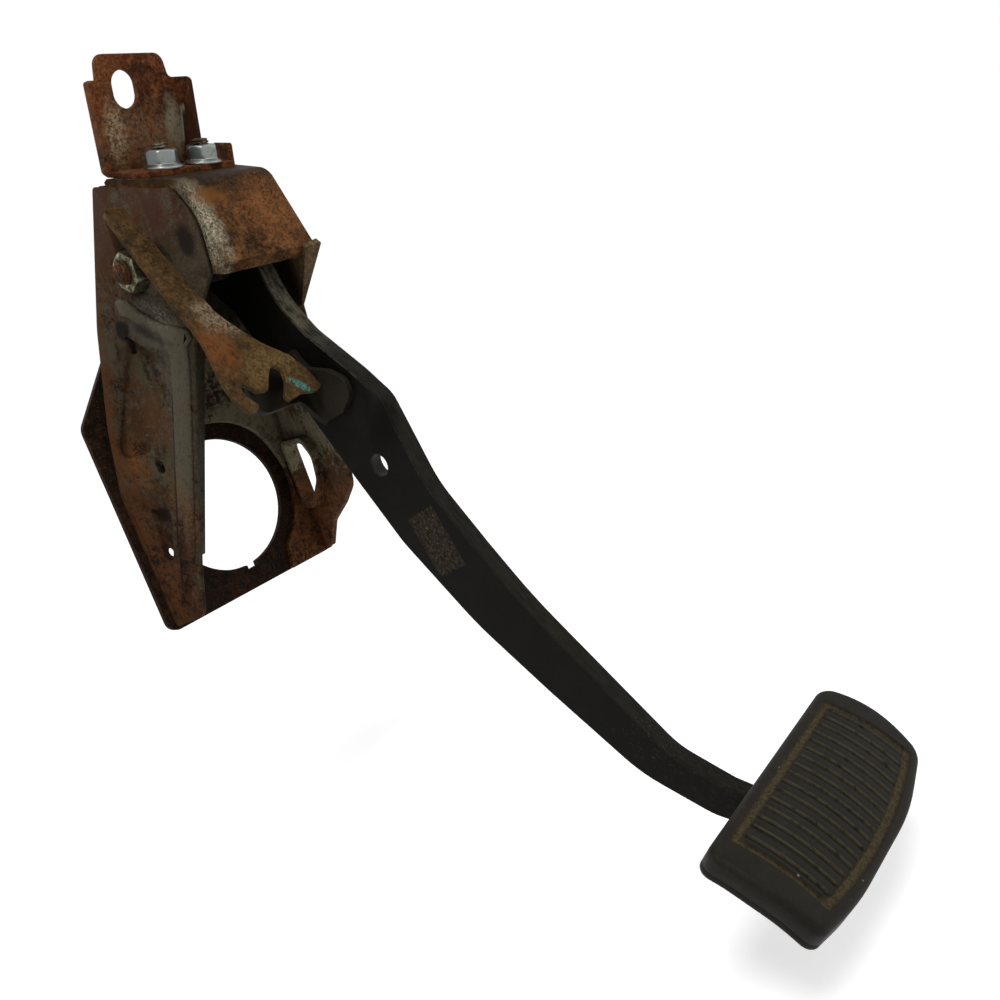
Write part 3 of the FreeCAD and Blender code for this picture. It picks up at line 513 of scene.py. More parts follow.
left.coat((left.y + 16).smooth(-6, 3) * left.grain(5, 72, 0.40, 0.58, 0.75) * 0.8, "4c2f19", 0.8)
left.patches([
    ((-35.5, -66, 100), (6, 15, 4.5), 0.5, 0.7, 3, -40, 54, 0.8, "6a6659", 0.45, 1.4, 53, 0.46, 0.60)])
# Painted shadow beside the pivot nut.
left.shade(left.blot((-35.5, -80, 121), (6, 10, 10), 0.5, 0.5, 5, seed=73), 0.75)
left.rub(0.9, 4, 74, 0.42, 0.6, 0.8, "645037", 0.5)
# Painted shade in the wall's corners and folds.
left.shade(left.corner_shade(7, 0.12, 0.55), 0.80)
# Painted shade on the inner face and other deep places, outside the recess.
inner_face_shade = depth.smooth(0.8, 1.8) * (left.x + 60).smooth(0, 4) * (left.z + 60).smooth(0, 5)
left.shade(inner_face_shade * recess.inverse() * 0.8, 0.5)
left.done(0.9)


def right_cover(wall):
    """The coat holds on the upper web and the window rim, and is gone near the foot."""
    return (wall.z + 2).smooth(18, -12) * -0.16 + (wall.z - 60).smooth(-10, 25) * -0.02 + 0.025


right = worn_grey("right_wall_grey", "6a624d", right_cover, 9, 0.48)
right.patches([
    ((47, -33, 16), (8, 11, 16), 0.4, 0.5, 4, 0, 81, 0.7, "76705d", 0.42),
    ((30, -12, 42), (22, 18, 12), 0.5, 0.8, 7, 0, 82, 0.6, "696250", 0.5, 1.6, 86, 0.36, 0.54),
    ((20, -22, 60), (30, 16, 11), 0.5, 0.9, 6, 0, 83, 1, "21170f", 0.7, 2.6, 84, 0.42, 0.54)])
right.coat((right.y + 86).smooth(2, -6) * 0.85, "443826", 0.7)
right.coat((right.y + 88).smooth(2, -4) * right.grain(2.0, 87, 0.46, 0.60) * 0.8, "74593a", 0.7)
right.coat((right.z + 6).smooth(8, -10) * right.grain(2.4, 88, 0.44, 0.60) * 0.7, "724525", 0.8)
right.rub(0.9, 4, 85, 0.44, 0.62, 0.7, "907e5f", 0.5)
# Painted shade on the upper wall under the hood.
under_hood_shade = (right.z - 70).smooth(0, 26) * (right.x * -1 + 37).smooth(0, 4) * (right.y + 100).smooth(-4, 8)
right.shade(under_hood_shade * 0.96, 0.88)
# Painted shade in the wall's corners and folds.
right.shade(right.corner_shade(6, 0.2, 0.7), 0.5)
dress("right_side_plate", right.done(0.9))
print("painted pieces:", "left_side_plate, right_side_plate")

# %% [markdown]
# The arm is a flat bar in black enamel. Feet and years have rubbed its front edge to a
# lighter grey-tan, and a worn rectangle marks where a label once sat; it is left blank.

# %% Black enamel
def enamel(name, black, rough, seed):
    coat = Finish(name, black, rough, shine=0.05)
    coat.coat(coat.grain(24, seed, 0.46, 0.66, 0.6) * 0.7, "14120e", rough + 0.1)
    coat.coat(coat.grain(1.6, seed + 1, 0.56, 0.70) * 0.55, "1c1914", 0.6)
    coat.height = coat.noise(1.3, seed + 2) * 0.09
    return coat


def rectangle(coat, centre, half_wide, half_long, turn, soft):
    """1 inside a rectangle on the arm's side, centred on (y, z) and turned in that plane."""
    sine, cosine = math.sin(math.radians(turn)), math.cos(math.radians(turn))
    y, z = coat.y - centre[0], coat.z - centre[1]
    return ((y * sine + z * cosine).within(half_long + soft, half_long - soft)
            * (y * cosine - z * sine).within(half_wide + soft, half_wide - soft))


arm = enamel("arm_enamel", "0a0907", 0.48, 5)
label = rectangle(arm, (-145.4, -38.6), 9.4, 15.2, 15.0, 0.7) * (arm.x - 7).smooth(0.5, -0.5)
label = label * arm.grain(3.0, 90, 0.38, 0.52, 0.75)
arm.coat(label * 0.8, "352e24", 0.7, 0.04)
scuff = arm.noise(0.9, 92, 5, 0.85, (1, 1.0, 3.0), (-23, 0, 0)).smooth(0.46, 0.56)
arm.coat(label * scuff * 0.85, "13110d", 0.7)
arm.coat(label * arm.grain(1.2, 89, 0.52, 0.64, 0.85) * 0.7, "6a5f4c", 0.7)
front_edge = (arm.x - 6.6).smooth(0.0, 0.4) * (arm.x * -1 + 15.2).smooth(-0.4, 0.2)
top_end = (arm.z - 78).smooth(-26, 14)
streaks = arm.noise(1.5, 105, 5, 0.75, (1, 6, 6)).smooth(0.40, 0.62)
arm.coat(front_edge * streaks * (top_end * 0.75 + 0.06), "5a5747", 0.5)
arm.coat(front_edge * arm.grain(7, 104, 0.42, 0.62, 0.75, 6) * (top_end * 0.4 + 0.02), "6c6753", 0.5)
upper = (arm.z - 30).smooth(-80, 50)
worn_edge = arm.edges(1.2, 0.01, 0.22) * arm.grain(4, 93, 0.34, 0.56, 0.75)
arm.coat(worn_edge * (upper * 0.65 + 0.12), "605c4c", 0.5)
arm.patches([
    ((11, -252, -163), (9, 22, 16), 0.6, 0.8, 5, 0, 95, 0.45, "33291f", 0.7, 1.8, 96, 0.50, 0.64),
    ((11, -232, -140), (9, 20, 14), 0.5, 0.8, 5, 0, 97, 0.5, "514c40", 0.6, 1.2, 98, 0.56, 0.66)])
arm.done(0.9)

striker = enamel("striker_enamel", "24201a", 0.45, 15)
striker.rub(1.0, 4, 101, 0.38, 0.58, 0.55, "3d382c", 0.5)
dress("stop_switch_striker", striker.done(0.8))

plate = enamel("pad_plate_enamel", "1a1815", 0.5, 25)
plate.coat(plate.grain(8, 102, 0.48, 0.64, 0.75), "38261b", 0.8)
dress("pad_plate", plate.done(0.6))

hub = enamel("hub_enamel", "171613", 0.5, 35)
hub.coat(hub.grain(6, 103, 0.50, 0.64, 0.75), "342419", 0.8)
dress("hub_tube", hub.done(0.4))
print("black pieces:", "pedal_arm, stop_switch_striker, pad_plate, hub_tube")

# %% [markdown]
# The nuts are newer than the rest. Zinc plate is a metal, bright on its flats and dull grey
# where it has begun to bloom. The nut of the pivot bolt is older, with a greenish film.

# %% Zinc, bare steel and plastic
def zinc(name, metal, bloom, rough, share, seed):
    coat = Finish(name, metal, rough, 1.0)
    coat.coat(coat.grain(4, seed, share, share + 0.14, 0.75), bloom, rough + 0.2)
    coat.coat(coat.grain(1.2, seed + 1, 0.58, 0.70) * 0.7, "3a362b", 0.6)
    coat.height = coat.noise(0.8, seed + 2, 3) * 0.05
    return coat


bright = zinc("bright_zinc", "767b78", "5c5f58", 0.36, 0.56, 111)
# Painted highlight along the nuts' edges.
bright.coat(bright.edges(0.7, 0.01, 0.14) * 0.75, "c3c6bd", 0.3)
# Painted shade in the nuts' corners.
bright.shade(bright.corner_shade(2.5, 0.3, 0.8), 0.75)
bright.done(0.35)

old = zinc("old_zinc", "6d6e58", "403c2e", 0.46, 0.44, 121)
old.coat(old.grain(3, 124, 0.50, 0.62, 0.75), "402d1c", 0.8)
# Painted highlight along the nut's edges.
old.coat(old.edges(0.9) * 0.85, "a9a78a", 0.35)
old.done(0.4)

sleeve = zinc("sleeve_steel", "6f6b62", "4a4036", 0.38, 0.50, 131)
dress("pivot_sleeve", sleeve.done(0.3))

bush = Finish("bush_plastic", "2f2e28", 0.5, shine=0.3)
bush.coat(bush.grain(5, 141, 0.5, 0.66, 0.6, 4) * 0.6, "3e382e", 0.6)
bush.height = bush.noise(1.5, 142, 3) * 0.04
for name in ("bush_left", "bush_right"):
    dress(name, bush.material)
bush.done(0.4)
print("metals and plastic:", len(bpy.data.materials), "materials so far")

# %% [markdown]
# A screw thread is one ridge that climbs round a rod, so its shape is a rule: the radius
# depends on the height and on the turn. The tree below bends a flat grid into a rod and
# lets that rule set the radius of every point. Two weld studs and the pivot bolt use it,
# each with its own sizes.

# %% The thread tree
def tree_with(name, numbers, whole_numbers=()):
    """A geometry tree with named inputs: the tree, its output node and a wire for each input."""
    tree = bpy.data.node_groups.new(name, "GeometryNodeTree")
    kinds = {"Geometry": "Geometry", **dict.fromkeys(numbers, "Float"),
             **dict.fromkeys(whole_numbers, "Int"), "Material": "Material"}
    for label, kind in kinds.items():
        tree.interface.new_socket(label, in_out="INPUT", socket_type="NodeSocket" + kind)
    tree.interface.new_socket("Geometry", in_out="OUTPUT", socket_type="NodeSocketGeometry")
    given = tree.nodes.new("NodeGroupInput").outputs
    return tree, tree.nodes.new("NodeGroupOutput"), {s.name: Wire(tree, s) for s in given if s.name}


def point_place(tree):
    """The three coordinates of each point."""
    split = add(tree, "ShaderNodeSeparateXYZ", {0: add(tree, "GeometryNodeInputPosition")}).socket.node
    return [Wire(tree, way) for way in split.outputs]


def finish_tree(tree, geometry, given, out):
    """Every tree ends in Realize Instances and Set Material."""
    real = add(tree, "GeometryNodeRealizeInstances", {0: geometry})
    dyed = add(tree, "GeometryNodeSetMaterial", {"Geometry": real, "Material": given["Material"]})
    feed(tree, dyed, out.inputs[0])


def thread_tree():
    tree, out, given = tree_with("screw_thread", (
        "Length", "Radius", "Pitch", "Depth", "Thread start", "Chamfer"), ("Rows",))
    grid = add(tree, "GeometryNodeMeshGrid", {"Size X": 1.0, "Size Y": 1.0, "Vertices X": given["Rows"],
                                              "Vertices Y": 37}, "Mesh")
    along, around, _ = (way + 0.5 for way in point_place(tree))
    height = along * given["Length"]
    climb = (height / given["Pitch"] - around).math("FRACT")
    ridge = ((climb - 0.5).math("ABSOLUTE") * 2).smooth(0.15, 0.85)
    cut = (height - given["Thread start"]).smooth(0.0, given["Pitch"]) * given["Depth"] * ridge
    tip = (height - given["Length"] + given["Chamfer"]).math("MAXIMUM", 0.0)
    closed = (along - 0.5).math("ABSOLUTE").math("LESS_THAN", 0.4995)
    radius = (given["Radius"] - cut - tip) * closed
    angle = around * (2 * math.pi)
    x, y = radius * angle.math("COSINE"), radius * angle.math("SINE")
    spot = add(tree, "ShaderNodeCombineXYZ", {0: x, 1: y, 2: height})
    rod = add(tree, "GeometryNodeSetPosition", {"Geometry": grid, "Position": spot})
    welded = add(tree, "GeometryNodeMergeByDistance", {"Geometry": rod, "Distance": 0.002})
    finish_tree(tree, welded, given, out)
    return tree


def run_tree(name, mesh, tree, values):
    """Put a tree on a mesh, set its inputs by their identifiers, and keep the plain result."""
    carrier = bpy.data.objects.new(name + "_carrier", mesh)
    scene.collection.objects.link(carrier)
    modifier = carrier.modifiers.new("rule", "NODES")
    modifier.node_group = tree
    sockets = {s.name: s.identifier for s in tree.interface.items_tree if s.in_out == "INPUT"}
    for label, value in values.items():
        modifier[sockets[label]] = value
    view = bpy.context.evaluated_depsgraph_get()
    made = bpy.data.meshes.new_from_object(carrier.evaluated_get(view), depsgraph=view)
    bpy.data.objects.remove(carrier)
    made.name = name
    return made


screw = thread_tree()
print("thread tree has", len(screw.nodes), "nodes")

# %% [markdown]
# Each threaded piece takes the place of its plain solid. A stud has a flat welded head
# under the hood. The pivot bolt has a hexagon head on the far side. Heads are turned or
# drawn in a few lines, and joined to the rod in one mesh.

# %% Rings, nuts and pieces
def bridge(skin, low, high):
    """Faces between two rings with the same number of points."""
    for i in range(len(low)):
        j = (i + 1) % len(low)
        skin.faces.new((low[i], low[j], high[j], high[i]))


def ring(skin, radii, height):
    """A ring of points round the third axis, one for each radius."""
    step = 2 * math.pi / len(radii)
    return [skin.verts.new((r * math.cos(step * i), r * math.sin(step * i), height))
            for i, r in enumerate(radii)]


def outward(skin, name):
    """The finished mesh, with its normals outward."""
    bmesh.ops.remove_doubles(skin, verts=skin.verts, dist=1e-5)
    bmesh.ops.recalc_face_normals(skin, faces=skin.faces)
    mesh = bpy.data.meshes.new(name)
    skin.to_mesh(mesh)
    skin.free()
    return mesh


def lathe(profile, count, name):
    """Rings from (radius, height) pairs, closed at both ends."""
    skin = bmesh.new()
    loops = [ring(skin, [radius] * count, height) for radius, height in profile]
    for low, high in zip(loops, loops[1:]):
        bridge(skin, low, high)
    skin.faces.new(list(reversed(loops[0])))
    skin.faces.new(loops[-1])
    return outward(skin, name)


def nut_skin(flats, rows, name, turn, sides=72):
    """A nut from rows of (height, limit, is_hexagon): the radius is the smaller of hexagon and limit."""
    step, sixth = 2 * math.pi / sides, math.pi / 3
    hexagon = [flats / 2 / math.cos((step * i + sixth / 2) % sixth - sixth / 2) for i in range(sides)]
    skin = bmesh.new()
    loops = [ring(skin, [min(r, limit) if is_hexagon else limit for r in hexagon], height)
             for height, limit, is_hexagon in rows]
    for low, high in zip(loops, loops[1:] + loops[:1]):
        bridge(skin, low, high)
    nut = outward(skin, name)
    nut.transform(Matrix.Rotation(math.radians(turn), 4, "Z"))
    return nut


def add_piece(name, meshes, material, body, node, place=Matrix.Identity(4)):
    """Join meshes in millimetres, carry them to their place, and ride on the body."""
    skin = bmesh.new()
    for mesh in meshes:
        skin.from_mesh(mesh)
    bmesh.ops.transform(skin, matrix=place @ Matrix.Scale(0.001, 4), verts=skin.verts)
    bmesh.ops.recalc_face_normals(skin, faces=skin.faces)
    mesh = bpy.data.meshes.new(name)
    skin.to_mesh(mesh)
    skin.free()
    mesh.materials.clear()
    mesh.materials.append(material)
    for face in mesh.polygons:
        face.material_index = 0
        face.use_smooth = True
    mesh.set_sharp_from_angle(angle=math.radians(38))
    thing = bpy.data.objects.new(name, mesh)
    scene.collection.objects.link(thing)
    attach(thing, body)
    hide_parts(node)
    return thing


print("rings, nuts and pieces are ready")

# %% Studs and their nuts
slope = math.radians(20.5)  # of the hood's top
crest = (-64.3, pivot_z + 39.2)  # (y, z) on the underside of the top
stud_off, stud_reach, stud_y = 10.8, 12.6, -67.0


def on_top(x):
    """Frame of a stud: its third axis stands on the slope of the hood."""
    right_way, up = Vector((1, 0, 0)), Vector((0, -math.sin(slope), math.cos(slope)))
    level = crest[1] + (stud_y - crest[0]) * math.tan(slope) + wall_thick / math.cos(slope)
    foot = Vector((x, stud_y, level)) + Vector((0, -math.cos(slope), -math.sin(slope))) * stud_reach
    return Matrix.Translation(foot * 0.001) @ axes(right_way, up.cross(right_way), up)


def rod_of(name, steel, length, radius, pitch, cut, start, chamfer, rows):
    """A threaded rod in millimetres, standing on the origin."""
    return run_tree(name, bpy.data.meshes.new("empty"), screw, {
        "Length": length, "Radius": radius, "Pitch": pitch, "Depth": cut, "Thread start": start,
        "Chamfer": chamfer, "Rows": rows, "Material": steel})


stud_steel = rusty("stud_steel", "241a12", "3e2f20", "634c34", 31)
stud_steel.coat(stud_steel.grain(2, 151, 0.5, 0.6, 0.6, 4) * 0.7, "7d776a", 0.5)
stud_steel.done(0.2)
# A flange nut: skirt and waist, then the hexagon with its chamfered crown, then the bore
flange_nut = [(2.5, 4.1, False), (2.5, 8.2, False), (2.8, 8.6, False), (3.4, 8.6, False), (3.9, 8.1, False),
              (4.7, 7.25, True), (5.0, 7.6, True), (9.3, 7.6, True), (10.0, 7.15, True), (10.55, 6.5, True),
              (10.8, 5.9, True), (10.8, 4.9, False), (10.2, 4.1, False)]
for side, x, turn in (("left", -stud_off, 12), ("right", stud_off, 26)):
    stud, nut = "top_stud_" + side, "top_nut_" + side
    rod = rod_of(stud + "_rod", stud_steel.material, 18.3, 4.0, 1.25, 0.62, 6.0, 0.9, 131)
    rod.transform(Matrix.Translation((0, 0, -4.8)))
    head = lathe([(6.4, -4.8), (7.0, -4.4), (7.0, -3.4), (6.6, -3.0)], 40, stud + "_head")
    add_piece(stud + "_threaded", [rod, head], stud_steel.material, "housing", stud, on_top(x))
    add_piece(nut + "_flanged", [nut_skin(13.0, flange_nut, nut, turn)], bright.material, "housing", nut,
              on_top(x))
print("studs:", [o.name for o in scene.objects if "threaded" in o.name])

# %% Pivot bolt and its nut
bolt_rust = rusty("bolt_rust", "2e1d13", "4a2f1d", "6e4729", 37)
bolt_rust.done(0.4)
seat_off = 35.5  # from the middle to the outer face of each seat


def on_pivot(x):
    """The place on the pivot's axis, x millimetres to the right."""
    return Matrix.Translation(Vector((x, pivot_y, pivot_z)) * 0.001)


rod = rod_of("bolt_rod", bolt_rust.material, 82.4, 5.0, 1.5, 0.7, 66.0, 1.0, 331)
head = lathe([(8.4, -6.4), (9.24, -5.6), (9.24, -0.4), (8.2, 0.0)], 6, "bolt_head")
add_piece("pivot_bolt_threaded", [rod, head], bolt_rust.material, "housing", "pivot_bolt",
          on_pivot(seat_off) @ Matrix.Rotation(math.radians(-90), 4, "Y"))
plain_nut = [(0.0, 5.1, False), (0.0, 7.4, False), (0.3, 8.1, True), (1.1, 9.3, True), (7.3, 9.3, True),
             (8.0, 8.5, True), (8.4, 7.6, True), (8.4, 5.9, False), (7.8, 5.1, False)]
add_piece("pivot_nut_chamfered", [nut_skin(16.0, plain_nut, "pivot_nut_skin", 24)], old.material, "housing",
          "pivot_nut", on_pivot(-seat_off) @ axes((0, 0, 1), (0, 1, 0), (-1, 0, 0)))
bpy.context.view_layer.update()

# %% [markdown]
# The pad is moulded rubber, pulled over a curved steel plate. Its face has sixteen ribs in
# a sunken border. A close grid over the face, with rings round its rim and its back, gives
# the closed form. The ribs are then pressed in by a tree, so that their pitch, depth and
# border can be changed by a number.

# %% Outline and grid of the pad
pad_half, pad_tall, rim, face_r, thick = 60.75, 50.5, 9.0, 75.0, 12.0
axis_out = rim - math.sqrt(face_r ** 2 - (pad_tall / 2) ** 2)
columns, rows = 280, 40
face_half, face_high, face_low = 48.9, -3.4, -48.9
low_bow, bow_half, crowding = 4.4, 44.7, 0.05775
outline_corners = [Vector(p) for p in ((-59, -1), (58, -1), (53.7, -47.5), (-57.7, -48.0))]


def rounded(corners, step):
    """Points along a closed outline of (x, y, radius) corners."""
    points = []
    for i, (x, y, radius) in enumerate(corners):
        here = Vector((x, y))
        before = (Vector(corners[i - 1][:2]) - here).normalized()
        after = (Vector(corners[(i + 1) % len(corners)][:2]) - here).normalized()
        half = before.angle(after) / 2
        centre = here + (before + after).normalized() * (radius / math.sin(half))
        first = here + before * (radius / math.tan(half)) - centre
        last = here + after * (radius / math.tan(half)) - centre
        sweep = first.angle_signed(last)
        pieces = max(2, int(abs(sweep) * radius / step))
        points += [centre + Matrix.Rotation(-sweep * k / pieces, 2) @ first for k in range(pieces + 1)]
    return points


def pad_outline(inset):
    half, high, low = pad_half - inset, -inset, -pad_tall + inset
    soft, side = max(1.5, 6.5 - inset), 72.0 - 2 * inset
    return rounded([
        (-half + 1.5, high, soft), (-half, -pad_tall * 0.4, side), (-half + 2, low + 5, soft),
        (-half * 0.55, low - 0.5, 130), (half * 0.4, low - 2.5, 120), (half - 6, low + 4, soft + 2),
        (half, -pad_tall * 0.4, side), (half - 2.5, high, soft)], 0.5)


def face_point(i, j):
    """A point of the face grid; rows lie close together near both ends of the ribs."""
    x = -face_half + 2 * face_half * i / (columns - 1)
    t = j / (rows - 1)
    share = t - crowding * math.sin(4 * math.pi * t)
    return Vector((x, (face_low + low_bow * (x / bow_half) ** 2) * (1 - share) + face_high * share))


def round_of(grid):
    """The outer points of a grid, in their order round it."""
    return ([column[-1] for column in grid] + grid[-1][-2::-1]
            + [column[0] for column in grid[-2::-1]] + grid[0][1:-1])


face = [[face_point(i, j) for j in range(rows)] for i in range(columns)]
border = round_of(face)
print("face grid:", columns, "by", rows, "with", len(border), "points round it")

# %% Rings from the face round the rim to the back
def spaced(points, count):
    """The same line with evenly spaced points, from its first point round to its last."""
    reach = [0.0]
    for a, b in zip(points, points[1:]):
        reach.append(reach[-1] + (b - a).length)
    out, k = [], 0
    for i in range(count):
        want = reach[-1] * i / (count - 1)
        while k < len(points) - 2 and reach[k + 1] < want:
            k += 1
        span = reach[k + 1] - reach[k] or 1.0
        out.append(points[k].lerp(points[k + 1], (want - reach[k]) / span))
    return out


def matched(outline):
    """Cut the outline near the four corners of the face and space each side like the face's border."""
    cuts = [min(range(len(outline)), key=lambda k: (outline[k] - corner).length)
            for corner in outline_corners]
    forward = (cuts[1] - cuts[0]) % len(outline) < (cuts[0] - cuts[1]) % len(outline)
    ordered = []
    for a, b, count in zip(cuts, cuts[1:] + cuts[:1], (columns, rows, columns, rows)):
        run = [outline[a]]
        while a != b:
            a = (a + (1 if forward else -1)) % len(outline)
            run.append(outline[a])
        ordered += spaced(run, count)[:-1]
    return ordered


# Each ring: its points, the radius of the curved layer that it lies on, and its rise over that
rim_r, back_r, pocket_rise = 2.8, face_r - thick, 5.6
flat = matched(pad_outline(rim_r))
rings = [([a.lerp(b, share) for a, b in zip(border, flat)], face_r, 0.0) for share in (0.25, 0.5, 0.75)]
for k in range(7):
    angle = math.radians(90 * k / 6)
    inset, drop = rim_r * (1 - math.sin(angle)), rim_r * (1 - math.cos(angle))
    rings.append((matched(pad_outline(inset)), face_r, -drop))
for inset, rise in ((0.0, 3.9), (0.25, 3.4), (0.0, 2.9), (0.0, 1.2), (0.25, 0.55), (1.2, 0.0), (9.3, 0.0),
                    (10.0, 0.7), (10.0, 2.4), (4.9, 2.4), (4.9, pocket_rise)):
    rings.append((matched(pad_outline(inset)), back_r, rise))
print("rings:", len(rings), "of", len(rings[0][0]))

# %% [markdown]
# The last ring closes over the steel plate with a second grid, so the rubber is a shell
# with a pocket, as the real one is, and not a lid.

# %% The closed skin
def pad_skin():
    skin = bmesh.new()

    def point(p, radius, rise):
        v = max(-pad_tall, min(0.0, p.y)) + pad_tall / 2
        return skin.verts.new((p.x, p.y, axis_out + math.sqrt(radius ** 2 - v ** 2) + rise))

    def lay(grid):
        for one, two in zip(grid, grid[1:]):
            for j in range(len(one) - 1):
                skin.faces.new((one[j], two[j], two[j + 1], one[j + 1]))

    front = [[point(p, face_r, 0.0) for p in column] for column in face]
    lay(front)
    last = round_of(front)
    for line, radius, rise in rings:
        fresh = [point(p, radius, rise) for p in line]
        bridge(skin, last, fresh)
        last = fresh
    on_ring = dict(zip(round_of([[(i, j) for j in range(rows)] for i in range(columns)]), last))
    ceiling = []
    for i, column in enumerate(face):
        ceiling.append([
            on_ring[i, j] if (i, j) in on_ring else point(Vector((p.x * 0.98, p.y)), back_r, pocket_rise)
            for j, p in enumerate(column)])
    lay(list(zip(*ceiling)))
    skin.normal_update()
    return outward(skin, "pad_skin")


skin_mesh = pad_skin()
print("pad skin:", len(skin_mesh.vertices), "points,", len(skin_mesh.polygons), "faces")

# %% [markdown]
# The rib tree works in the pad's own frame, in millimetres. It measures how far a point is
# inside the field, sinks the border all round, and sinks a groove between each two ribs.
# It also writes how deep each point went and where the lit side of each rib is; the rubber's material paints
# shade in the sunken places, a painted highlight on that lit side, and dust in the border.

# %% The rib tree
def rib_tree():
    tree, out, given = tree_with("pad_ribs", (
        "Count", "Field half width", "Field top", "Field bottom", "Bow", "Border", "Groove", "Depth"))
    x, v, out_way = point_place(tree)
    half = given["Field half width"]
    from_side = half - x.math("ABSOLUTE")
    from_top = given["Field top"] - v
    from_low = v - given["Field bottom"] - (x / half).math("POWER", 2.0) * given["Bow"]
    from_top = from_top.math("MAXIMUM", from_top * 0.66)
    from_low = from_low.math("MAXIMUM", from_low * 0.66)
    depth_in = from_side.math("SMOOTH_MIN", from_top, 2.0).math("SMOOTH_MIN", from_low, 2.0)
    edging = depth_in.smooth(0.35, -0.35) * (depth_in + given["Border"]).smooth(-0.35, 0.35)
    pitch = half * 2 / given["Count"]
    beat = ((x + half) / pitch).math("FRACT")
    off_groove = (beat - 0.5).math("ABSOLUTE") * pitch
    groove = off_groove.smooth(given["Groove"] * 0.5 + 0.2, given["Groove"] * 0.5 - 0.45) \
        * depth_in.smooth(-0.35, 0.35)
    swell = (off_groove / pitch * 2).math("POWER", 2.0) * depth_in.smooth(-0.2, 1.6) * 0.15
    hollow = edging.math("MAXIMUM", groove)
    sink = hollow * given["Depth"] - swell * 0.6
    axis_v, axis_o = v + pad_tall / 2, out_way - axis_out
    front = (axis_v * axis_v + axis_o * axis_o).math("SQRT").smooth(face_r - 2.2, face_r - 1.8)
    amount = sink * front / face_r * -1
    push = add(tree, "ShaderNodeCombineXYZ", {1: amount * axis_v, 2: amount * axis_o})
    lit_side = ((beat - 0.5) * pitch - given["Groove"] * 0.5 - 0.1).within(0.55, 0.12)
    lit_side = lit_side * depth_in.smooth(0.0, 1.0)
    told = given["Geometry"]
    for label, value in (("hollow", hollow), ("border", edging), ("rib_highlight", lit_side)):
        told = add(tree, "GeometryNodeStoreNamedAttribute", {
            "Geometry": told, "Name": label, "Value": value * front}, data_type="FLOAT", domain="POINT")
    pressed = add(tree, "GeometryNodeSetPosition", {"Geometry": told, "Offset": push})
    finish_tree(tree, pressed, given, out)
    return tree


ribs = rib_tree()
print("rib tree has", len(ribs.nodes), "nodes")

# %% Rubber, and the pad in its place
rubber = Finish("pad_rubber", "171511", 0.56, shine=0.09)
rubber.coat(rubber.grain(14, 161, 0.42, 0.66, 0.6) * 0.8, "1e1b15", 0.62)
rubber.coat(rubber.grain(0.9, 162, 0.56, 0.70, 0.8, 4) * 0.4, "2f2b22", 0.7)
# What the rib tree has written on the points of the pad
hollow, edging, rib_highlight = (rubber.add("ShaderNodeAttribute", None, "Fac", attribute_name=label)
                            for label in ("hollow", "border", "rib_highlight"))
# Painted shade in the grooves and the sunken border.
rubber.coat(hollow * 0.5, "13110d", 0.8)
# Painted highlight on the lit side of each rib.
rubber.coat(rib_highlight * rubber.grain(4, 164, 0.30, 0.54, 0.7) * 0.75, "4d483a", 0.6)
rubber.coat(edging * 0.5, "332c1f", 0.85)
rubber.coat(edging * rubber.grain(1.4, 163, 0.34, 0.60) * 0.6, "574c36", 0.9)
rubber.coat(rubber.specks(2.2, 0.010, 3), "77746a", 0.7)
rubber.coat((rubber.z + 160).smooth(-30, 30) * rubber.grain(6, 167, 0.5, 0.66, 0.7) * 0.3, "38342a", 0.6)
rubber.height = rubber.noise(0.7, 165, 3) * 0.05 + rubber.noise(3.0, 166, 3) * 0.05
rubber.done(0.3)

pad_mesh = run_tree("pad_pressed", skin_mesh, ribs, {
    "Count": 16.0, "Field half width": 46.2, "Field top": -7.3, "Field bottom": -45.2, "Bow": 5.0,
    "Border": 2.2, "Groove": 1.7, "Depth": 1.4, "Material": rubber.material})
pad_tilt = math.radians(50.3)
pad_up = Vector((0, math.sin(pad_tilt), math.cos(pad_tilt)))
pad_out = Vector((0, -math.cos(pad_tilt), math.sin(pad_tilt)))
pad_foot = Vector((15.6, -274.8, -148.9)) - pad_out * rim
pad = add_piece("rubber_pad_ribbed", [pad_mesh], rubber.material, "pedal", "rubber_pad",
                Matrix.Translation(pad_foot * 0.001) @ axes(Vector((1, 0, 0)), pad_up, pad_out))
print("pad:", len(pad.data.polygons), "faces, box", [round(v, 3) for v in pad.dimensions])

# %% [markdown]
# The left wall keeps the shape of its solid, with three changes that only a mesh takes
# easily. The recess leans with the front edge, the seat of the bolt is a little smaller, and
# one of the two small holes is closed by rust. The two flat faces are then filled again
# round the moved outlines, with a Delaunay filling that keeps every outline edge.

# %% The left wall as a welded copy
seat_shrink, seat_reach, bore_reach = 0.74, 19.5, 12.0
closed_hole = (-25.6, 9.0)
old_recess = (-46, 70)


def ramp(value, low, high):
    """From 0 at low to 1 at high, in a straight line."""
    return min(1.0, max(0.0, (value - low) / (high - low)))


def soft(t):
    """A ramp with soft ends."""
    return t * t * (3 - 2 * t)


def wall_depth(spot):
    """How far a point lies behind the outer face of the left wall, in millimetres."""
    return spot.x * math.cos(lean) + spot.y * math.sin(lean) + outer_face


def on_wall(y, z, depth):
    """The point at (y, z) that lies so far behind the outer face."""
    return Vector(((depth - outer_face - y * math.sin(lean)) / math.cos(lean), y, z))


def welded_copy(node):
    """The mesh of a piece of the frame, in millimetres and with its points joined."""
    skin = bmesh.new()
    skin.from_mesh(frame["nodes"][node].data)
    bmesh.ops.scale(skin, vec=(1000, 1000, 1000), verts=skin.verts)
    bmesh.ops.remove_doubles(skin, verts=skin.verts, dist=0.002)
    return skin


def flat_faces(skin, height_of, level):
    return {f for f in skin.faces if all(abs(height_of(v.co) - level) < 0.05 for v in f.verts)}


